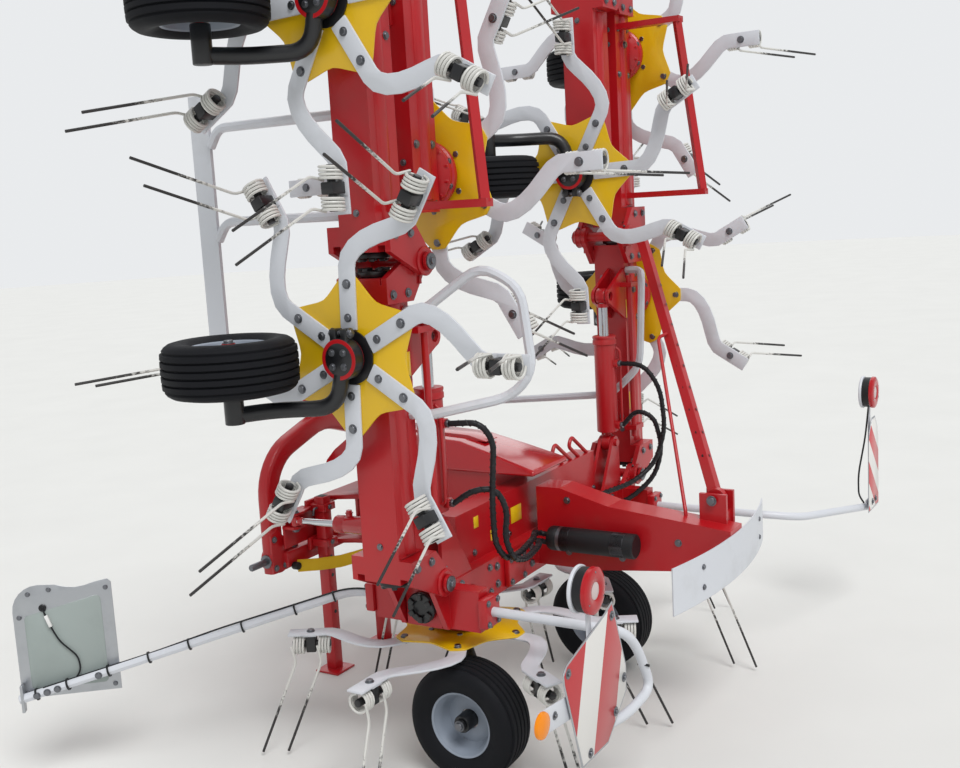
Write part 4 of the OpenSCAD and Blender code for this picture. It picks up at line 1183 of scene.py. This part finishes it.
def stand_leg(side):
    """Square leg with a foot plate and a row of black discs painted on its face as the shade inside its holes
    """
    at = move(SIDES[side] * STAND_X, STAND_Y, 0)
    piece = Piece(f"stand_{side}_leg", f"stand_{side}")
    piece.add(block((-25, -25, 8), (25, 25, 759), 5), RED, at)
    piece.add(block((-59, -59, 0.5), (59, 59, 9.5), 3), RED, at)
    # Black discs, 0.8 mm thick: painted shade where the leg's pin holes would show dark
    for k in range(5):
        piece.add(drum(8, 0.8, 0, 20), BLACK, at @ move(0, -25, 180 + 80 * k) @ TO_REAR)
    piece.add(block((-18, -18, 759), (18, 18, 760), 0.3), PLASTIC, at)
    piece.done([f"stand_{side}"])


def damper(side):
    """Thick barrel with end cap, gland and filler, on its upright eye; the rod's end goes on the rod"""
    run_x, run_y = DAMPER_RUN
    heading = turn("Z", -math.degrees(math.atan2(run_x, run_y)))
    place = WORLD @ on_side(side) @ move(*DAMPER_BASE) @ heading @ TO_FRONT
    piece = Piece(f"damper_barrel_{side}_body", f"damper_barrel_{side}", place)
    barrel = [(0, 40), (30, 40), (35, 44), (36, 52), (36, 330), (34.5, 332), (34.5, 336), (36, 338),
              (36, 374), (33, 380), (14.3, 380), (14.3, 62), (0, 62)]
    piece.add(lathe(barrel, 44), GLOSSY_RED)
    piece.add(drum(17.8, 26, 1), GLOSSY_RED, move(0, 0, 15))
    eye = [(10.3, -20), (20, -20), (22, -18), (22, 18), (20, 20), (10.3, 20)]
    piece.add(lathe(eye, 32), GLOSSY_RED, TO_REAR)
    piece.add(drum(13, 14, 2, 24), GLOSSY_RED, move(0, -34, 318) @ TO_REAR)
    piece.add(hex_bolt(13, 12), GLOSSY_RED, move(0, -48, 318) @ TO_REAR)
    piece.add(drum(15, 5, 1, 24), ZINC, move(0, -34, 90) @ TO_REAR)
    piece.done([f"damper_barrel_{side}"])
    length = math.hypot(run_x, run_y)
    rod = Piece(f"damper_rod_{side}_body", f"damper_rod_{side}", place)
    rod.add(drum(13.9, length - 150, 1), CHROME, move(0, 0, 150))
    rod.add(drum(19.8, 39.6, 2, 32), GLOSSY_RED, move(0, 19.8, length) @ TO_REAR)
    rod.add(drum(17, 22, 2, 24), GLOSSY_RED, move(0, 0, length - 40))
    rod.done([f"damper_rod_{side}"])


class TEDDER_OT_headstock(bpy.types.Operator):
    """Swivelling arch with its hitch points, dampers and parking stands"""
    bl_idname = "tedder.headstock"
    bl_label = "Headstock"

    def execute(self, context):
        piece = Piece("headstock_arch", "headstock")
        headstock_frame(piece)
        webbing(piece)
        piece.done(["headstock"])
        for side in SIDES:
            stand_leg(side)
            damper(side)
        return {"FINISHED"}


# Hydraulics


def fold_cylinder(side):
    """Barrel with its base eye, head and ports, and the rod with its eye and pin"""
    place = WORLD @ on_side(side) @ move(*FOLD_BASE)
    piece = Piece(f"fold_barrel_{side}_body", f"fold_barrel_{side}", place)
    eye = [(33, -19.8), (36, -17), (36, 17), (33, 19.8)]
    piece.add(lathe([(16.3, -19.8)] + eye + [(16.3, 19.8)], 36), RED, TO_REAR)
    piece.add(drum(17.8, 22, 1), RED, move(0, 0, 28))
    barrel = [(0, 48), (40, 48), (45, 51), (46, 56), (46, 430), (51, 434), (51, 450), (49, 453), (49, 457),
              (51, 460), (51, 467), (48, 470), (20.4, 470), (20.4, 64), (0, 64)]
    piece.add(lathe(barrel, 48), RED)
    for z in (80, 350):
        piece.add(block((-16, -62, z - 15), (16, -40, z + 15), 3), RED)
        piece.bolt(14, move(0, -62, z) @ TO_REAR, 12, False)
    piece.add(tube([(26, -44, 80), (26, -58, 90), (26, -58, 400), (26, -40, 415)], 6, 20, 10), RED)
    piece.done([f"fold_barrel_{side}"])
    rod = Piece(f"fold_rod_{side}_body", f"fold_rod_{side}", place)
    rod.add(drum(19.9, 558, 1), CHROME, move(0, 0, 62))
    eye = [(32, -19.8), (34, -17), (34, 17), (32, 19.8)]
    rod.add(lathe([(0, -19.8)] + eye + [(0, 19.8)], 36), RED, move(0, 0, FOLD_PIN) @ TO_REAR)
    rod.add(drum(26, 18, 2), RED, move(0, 0, 592))
    for s in (-1, 1):
        rod.add(drum(15.9, 4, 1, 24), ZINC, move(0, s * 19.8, FOLD_PIN) @ turn("X", -90 * s))
    rod.done([f"fold_rod_{side}"])


def wrapped_hose(piece, points, radius):
    """A hose with a spiral guard round it"""
    path = rounded(points, 60, 5)
    piece.add(sweep(path, circle(radius, 12)), RUBBER)
    fine = [path[0]]
    for a, b in zip(path, path[1:]):
        count = max(int((b - a).length / 5), 1)
        fine += [a.lerp(b, (k + 1) / count) for k in range(count)]
    guard = []
    for i, place in enumerate(stations(fine)):
        around = Vector((math.cos(i * 1.25), math.sin(i * 1.25), 0))
        guard.append(place.translation + place.to_3x3() @ around * (radius + 1))
    piece.add(sweep(guard[4:-4], circle(2.2, 5)), PLASTIC)


# Middle lines of the hoses, from the barrel down to the frame
HOSES_LEFT = (
    ((-690, -104, 1210), (-664, -205, 1214), (-640, -240, 1150), (-640, -222, 940), (-636, -222, 800),
     (-600, -236, 738), (-470, -214, 712), (-260, -160, 704), (-150, -104, 692), (-112, -112, 678),
     (-110, -148, 676)),
    ((-690, -104, 940), (-668, -165, 985), (-625, -232, 985), (-610, -262, 910), (-612, -246, 810),
     (-585, -262, 734), (-460, -238, 694), (-260, -184, 682), (-160, -122, 664), (-128, -122, 652),
     (-126, -148, 650)))
HOSES_RIGHT = (
    ((690, -104, 1210), (694, -205, 1208), (702, -275, 1110), (708, -290, 930), (695, -245, 780),
     (600, -180, 712), (400, -116, 702), (200, -104, 700), (110, -110, 690), (64, -112, 680)),
    ((690, -104, 940), (696, -165, 1010), (708, -240, 980), (716, -272, 850), (700, -240, 720),
     (640, -160, 640), (600, -110, 612), (580, -74, 604)))


class TEDDER_OT_hydraulics(bpy.types.Operator):
    """Fold cylinders with their ports and the wrapped hoses, fixed in place"""
    bl_idname = "tedder.hydraulics"
    bl_label = "Hydraulics"

    def execute(self, context):
        radius = context.scene.tedder_sizes.hose * 500
        for side, hoses in (("left", HOSES_LEFT), ("right", HOSES_RIGHT)):
            fold_cylinder(side)
            piece = Piece(f"hoses_{side}", "root")
            for points in hoses:
                wrapped_hose(piece, points, radius)
            x = SIDES[side] * 0.64
            low, high = (Vector((x, -0.22 + SHIFT_Y / 1000, z)) for z in (0.74, 0.95))
            piece.done(blend=("root", f"fold_barrel_{side}", low, high))
        return {"FINISHED"}


# Centre frame


def centre_details(piece):
    """Handles, covers, bolts and blank labels of the cross beam and its upper box"""
    for x in (385, 535):
        loop = [(x, -4, 840), (x - 150, -4, 944), (x - 178, -4, 908), (x - 74, -4, 836)]
        piece.add(tube(loop, 8, 20, 12), RED)
    for x0, x1, z0, z1 in ((-175, -95, 722, 784), (-442, -410, 776, 818), (-330, -300, 700, 740)):
        piece.add(block((x0, -21.4, z0), (x1, -20.1, z1), 0.4), YELLOW_FILM)
    for x in (-540, -460, -300, -200, 160, 560):
        piece.bolt(10, move(x * 0.97, -20, 690) @ TO_REAR)
    for x in (-380, -120, 150, 380):
        for z in (560, 625):
            piece.bolt(12, move(x, -70, z) @ TO_REAR)
    piece.add(block((-330, -92, 530), (-200, -69.5, 650), 6), RED)
    for x in (-312, -218):
        for z in (548, 632):
            piece.bolt(10, move(x, -92, z) @ TO_REAR)


def brace_details(piece):
    """Rows of black discs painted on the transport brace as the shade inside its holes, its hooked end and
    the thin rod beside it
    """
    low, high = Vector(BRACE_FOOT), Vector(BRACE_HEAD)
    along = (high - low).normalized()
    spin = Vector((0, 0, 1)).rotation_difference(along).to_matrix().to_4x4()
    # Black discs on each face of the brace: painted shade where its holes would show dark
    for k in range(9):
        at = move(*(low + along * (180 + 105 * k))) @ spin
        for axis in "XY":
            for angle in (-90, 90):
                piece.add(drum(6, 0.8, 0, 16), BLACK, at @ turn(axis, angle) @ move(0, 0, 18.2))
    hook = [(13, -14), (34, -14), (34, 14), (13, 14)]
    piece.add(lathe(hook, 32), RED, move(0, 0, 8) @ move(*low) @ TO_RIGHT)
    foot, top = Vector((20, -640, 745)), low + along * 760 + Vector((-60, 30, 0))
    piece.add(tube([foot, foot + Vector((0, 0, 30)), top, top + Vector((40, -20, 10))], 7, 20, 10), RED)


def rear_details(piece):
    """Bolts of the rear plate and the rear beam, and the pin of the brace"""
    for x in (-290, 330):
        lean = turn("Z", math.degrees(math.asin(x / REAR_PLATE_R)))
        y = REAR_PLATE_Y - math.sqrt(REAR_PLATE_R ** 2 - x * x)
        for z in (612, 682):
            piece.bolt(8, move(x, y, z) @ lean @ TO_REAR)
    x, y, z = BRACE_FOOT
    for s in (-1, 1):
        outward = turn("Y", 90 * s)
        for at_y, at_z in ((-200, 600), (-200, 800), (-420, 600), (-640, 680)):
            piece.bolt(11, move(s * 60, at_y, at_z) @ outward)
        piece.bolt(15, move(x + s * 56, y, z + 8) @ outward)


def canister():
    """Black canister with its collars and feet, lying beside the rear beam"""
    can = Piece("canister_body", "root", WORLD @ move(*CANISTER_AT) @ TO_FRONT)
    shell = [(0, 1), (40, 1), (45, 5), (46, 10), (46, 296), (44, 299), (44, 306), (46, 309), (46, 340),
             (42, 349), (0, 349)]
    can.add(lathe(shell, 48), PLASTIC)
    for z in (40, 260):
        can.add(lathe([(45, z), (46, z - 1), (46, z + 51), (45, z + 50), (43, z + 25)], 48), ZINC)
        can.add(block((42, -16, z), (49.6, 16, z + 50), 1), BLACK)
    can.done(["canister"])


class TEDDER_OT_centre(bpy.types.Operator):
    """What is bolted on the centre frame and the rear beam"""
    bl_idname = "tedder.centre"
    bl_label = "Centre frame"

    def execute(self, context):
        piece = Piece("centre_fittings", "root")
        centre_details(piece)
        rear_details(piece)
        brace_details(piece)
        piece.done()
        canister()
        return {"FINISHED"}


# Stage


# Camera in metres, its yaw, pitch and roll in degrees, and its focal length in millimetres
CAMERA_AT = (-3.824, -2.142, 1.909)
CAMERA_TURN = (58.63, 8.72, -3.24)
LENS = 43.3
# Suns: name, strength, angle and the place they shine from
LAMPS = (("key_lamp", 2.0, 0.5, (-4, -5, 9)), ("fill_lamp", 0.6, 1.0, (6, 3, 6)))


def place_camera(scene):
    """Puts the camera at the photograph's place, with its yaw, pitch and roll"""
    yaw, pitch, roll = (math.radians(a) for a in CAMERA_TURN)
    look = Vector((math.sin(yaw) * math.cos(pitch), math.cos(yaw) * math.cos(pitch), -math.sin(pitch)))
    level = Vector((math.cos(yaw), -math.sin(yaw), 0))
    right = level * math.cos(roll) + level.cross(look) * math.sin(roll)
    up = right.cross(look)
    camera = bpy.data.objects.new("camera", bpy.data.cameras.new("camera"))
    scene.collection.objects.link(camera)
    rows = Matrix((right, up, -look)).transposed().to_4x4()
    camera.matrix_world = move(0, SHIFT_Y / 1000, 0) @ move(*CAMERA_AT) @ rows
    camera.data.sensor_width = 36
    camera.data.lens = LENS
    camera.data.clip_end = 200
    scene.camera = camera


def lay_floor(scene):
    """A pale round floor out to the backdrop"""
    floor = bpy.data.objects.new("floor", bpy.data.meshes.new("floor"))
    ground = bmesh.new()
    bmesh.ops.create_circle(ground, cap_ends=True, segments=96, radius=40)
    ground.to_mesh(floor.data)
    ground.free()
    scene.collection.objects.link(floor)
    tree, shader, where = base_material("pale_floor", "#D9D9D6", 0.85)
    tree.links.new(blend_colours(tree, grain(tree, where, 1.5), "#D6D6D3", "#DEDEDB"),
                   shader.inputs["Base Color"])
    floor.data.materials.append(bpy.data.materials["pale_floor"])


def light(scene):
    """Pale sky, brighter to the camera than to the machine, and two soft suns"""
    world = bpy.data.worlds.new("pale_sky")
    scene.world = world
    world.use_nodes = True
    tree = world.node_tree
    seen = add_node(tree, "ShaderNodeLightPath").outputs["Is Camera Ray"]
    sky = tree.nodes["Background"]
    sky.inputs["Color"].default_value = linear("#F2F4F6")
    tree.links.new(between(tree, seen, 0, 1, 0.60, 0.92), sky.inputs["Strength"])
    for name, energy, size, at in LAMPS:
        lamp = bpy.data.objects.new(name, bpy.data.lights.new(name, "SUN"))
        lamp.data.energy = energy
        lamp.data.angle = size
        lamp.rotation_mode = "QUATERNION"
        lamp.rotation_quaternion = Vector(at).to_track_quat("Z", "Y")
        scene.collection.objects.link(lamp)


class TEDDER_OT_stage(bpy.types.Operator):
    """Camera at the photograph's place, pale floor and backdrop, soft lamps"""
    bl_idname = "tedder.stage"
    bl_label = "Stage"

    def execute(self, context):
        place_camera(context.scene)
        lay_floor(context.scene)
        light(context.scene)
        context.scene.view_settings.view_transform = "Standard"
        return {"FINISHED"}


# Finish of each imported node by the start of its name; the rest is the frame's red
NODE_FINISHES = (
    (("guard", "board_arm", "rear_plate"), WHITE),
    (("board_",), ALUMINIUM),
    (("fold_rod", "damper_rod"), CHROME),
    (("centre_legs", "canister"), BLACK),
    (("hood",), GLOSSY_RED),
    (("wheel",), TREAD))


class TEDDER_OT_finishes(bpy.types.Operator):
    """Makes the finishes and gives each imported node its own"""
    bl_idname = "tedder.finishes"
    bl_label = "Finishes"

    def execute(self, context):
        make_finishes(context.scene.tedder_colours)
        for node in frame["nodes"]:
            repaint(node, next((finish for starts, finish in NODE_FINISHES if node.startswith(starts)), RED))
        return {"FINISHED"}


class TEDDER_PT_pieces(bpy.types.Panel):
    """Lists the sizes, the colours and the pieces"""
    bl_label = "Hay Tedder"
    bl_idname = "TEDDER_PT_pieces"
    bl_space_type = "VIEW_3D"
    bl_region_type = "UI"
    bl_category = "Hay Tedder"

    def draw(self, context):
        column = self.layout.column()
        for group in (context.scene.tedder_sizes, context.scene.tedder_colours):
            for name in group.__annotations__:
                column.prop(group, name)
        for operator in OPERATORS:
            column.operator(operator.bl_idname)


OPERATORS = (TEDDER_OT_stage, TEDDER_OT_finishes, TEDDER_OT_rotors, TEDDER_OT_wheels, TEDDER_OT_legs,
             TEDDER_OT_housings, TEDDER_OT_boards, TEDDER_OT_hood, TEDDER_OT_headstock, TEDDER_OT_hydraulics,
             TEDDER_OT_centre)
CLASSES = (TedderSizes, TedderColours, *OPERATORS, TEDDER_PT_pieces)


def register():
    """Adds the classes and the settings"""
    for cls in CLASSES:
        bpy.utils.register_class(cls)
    bpy.types.Scene.tedder_sizes = PointerProperty(type=TedderSizes)
    bpy.types.Scene.tedder_colours = PointerProperty(type=TedderColours)


def unregister():
    """Takes the classes and the settings away again"""
    del bpy.types.Scene.tedder_sizes
    del bpy.types.Scene.tedder_colours
    for cls in reversed(CLASSES):
        bpy.utils.unregister_class(cls)


def main():
    """Builds every group of pieces"""
    register()
    for operator in OPERATORS:
        group, name = operator.bl_idname.split(".")
        getattr(getattr(bpy.ops, group), name)()
    bpy.context.view_layer.update()


if __name__ == "__main__":
    main()
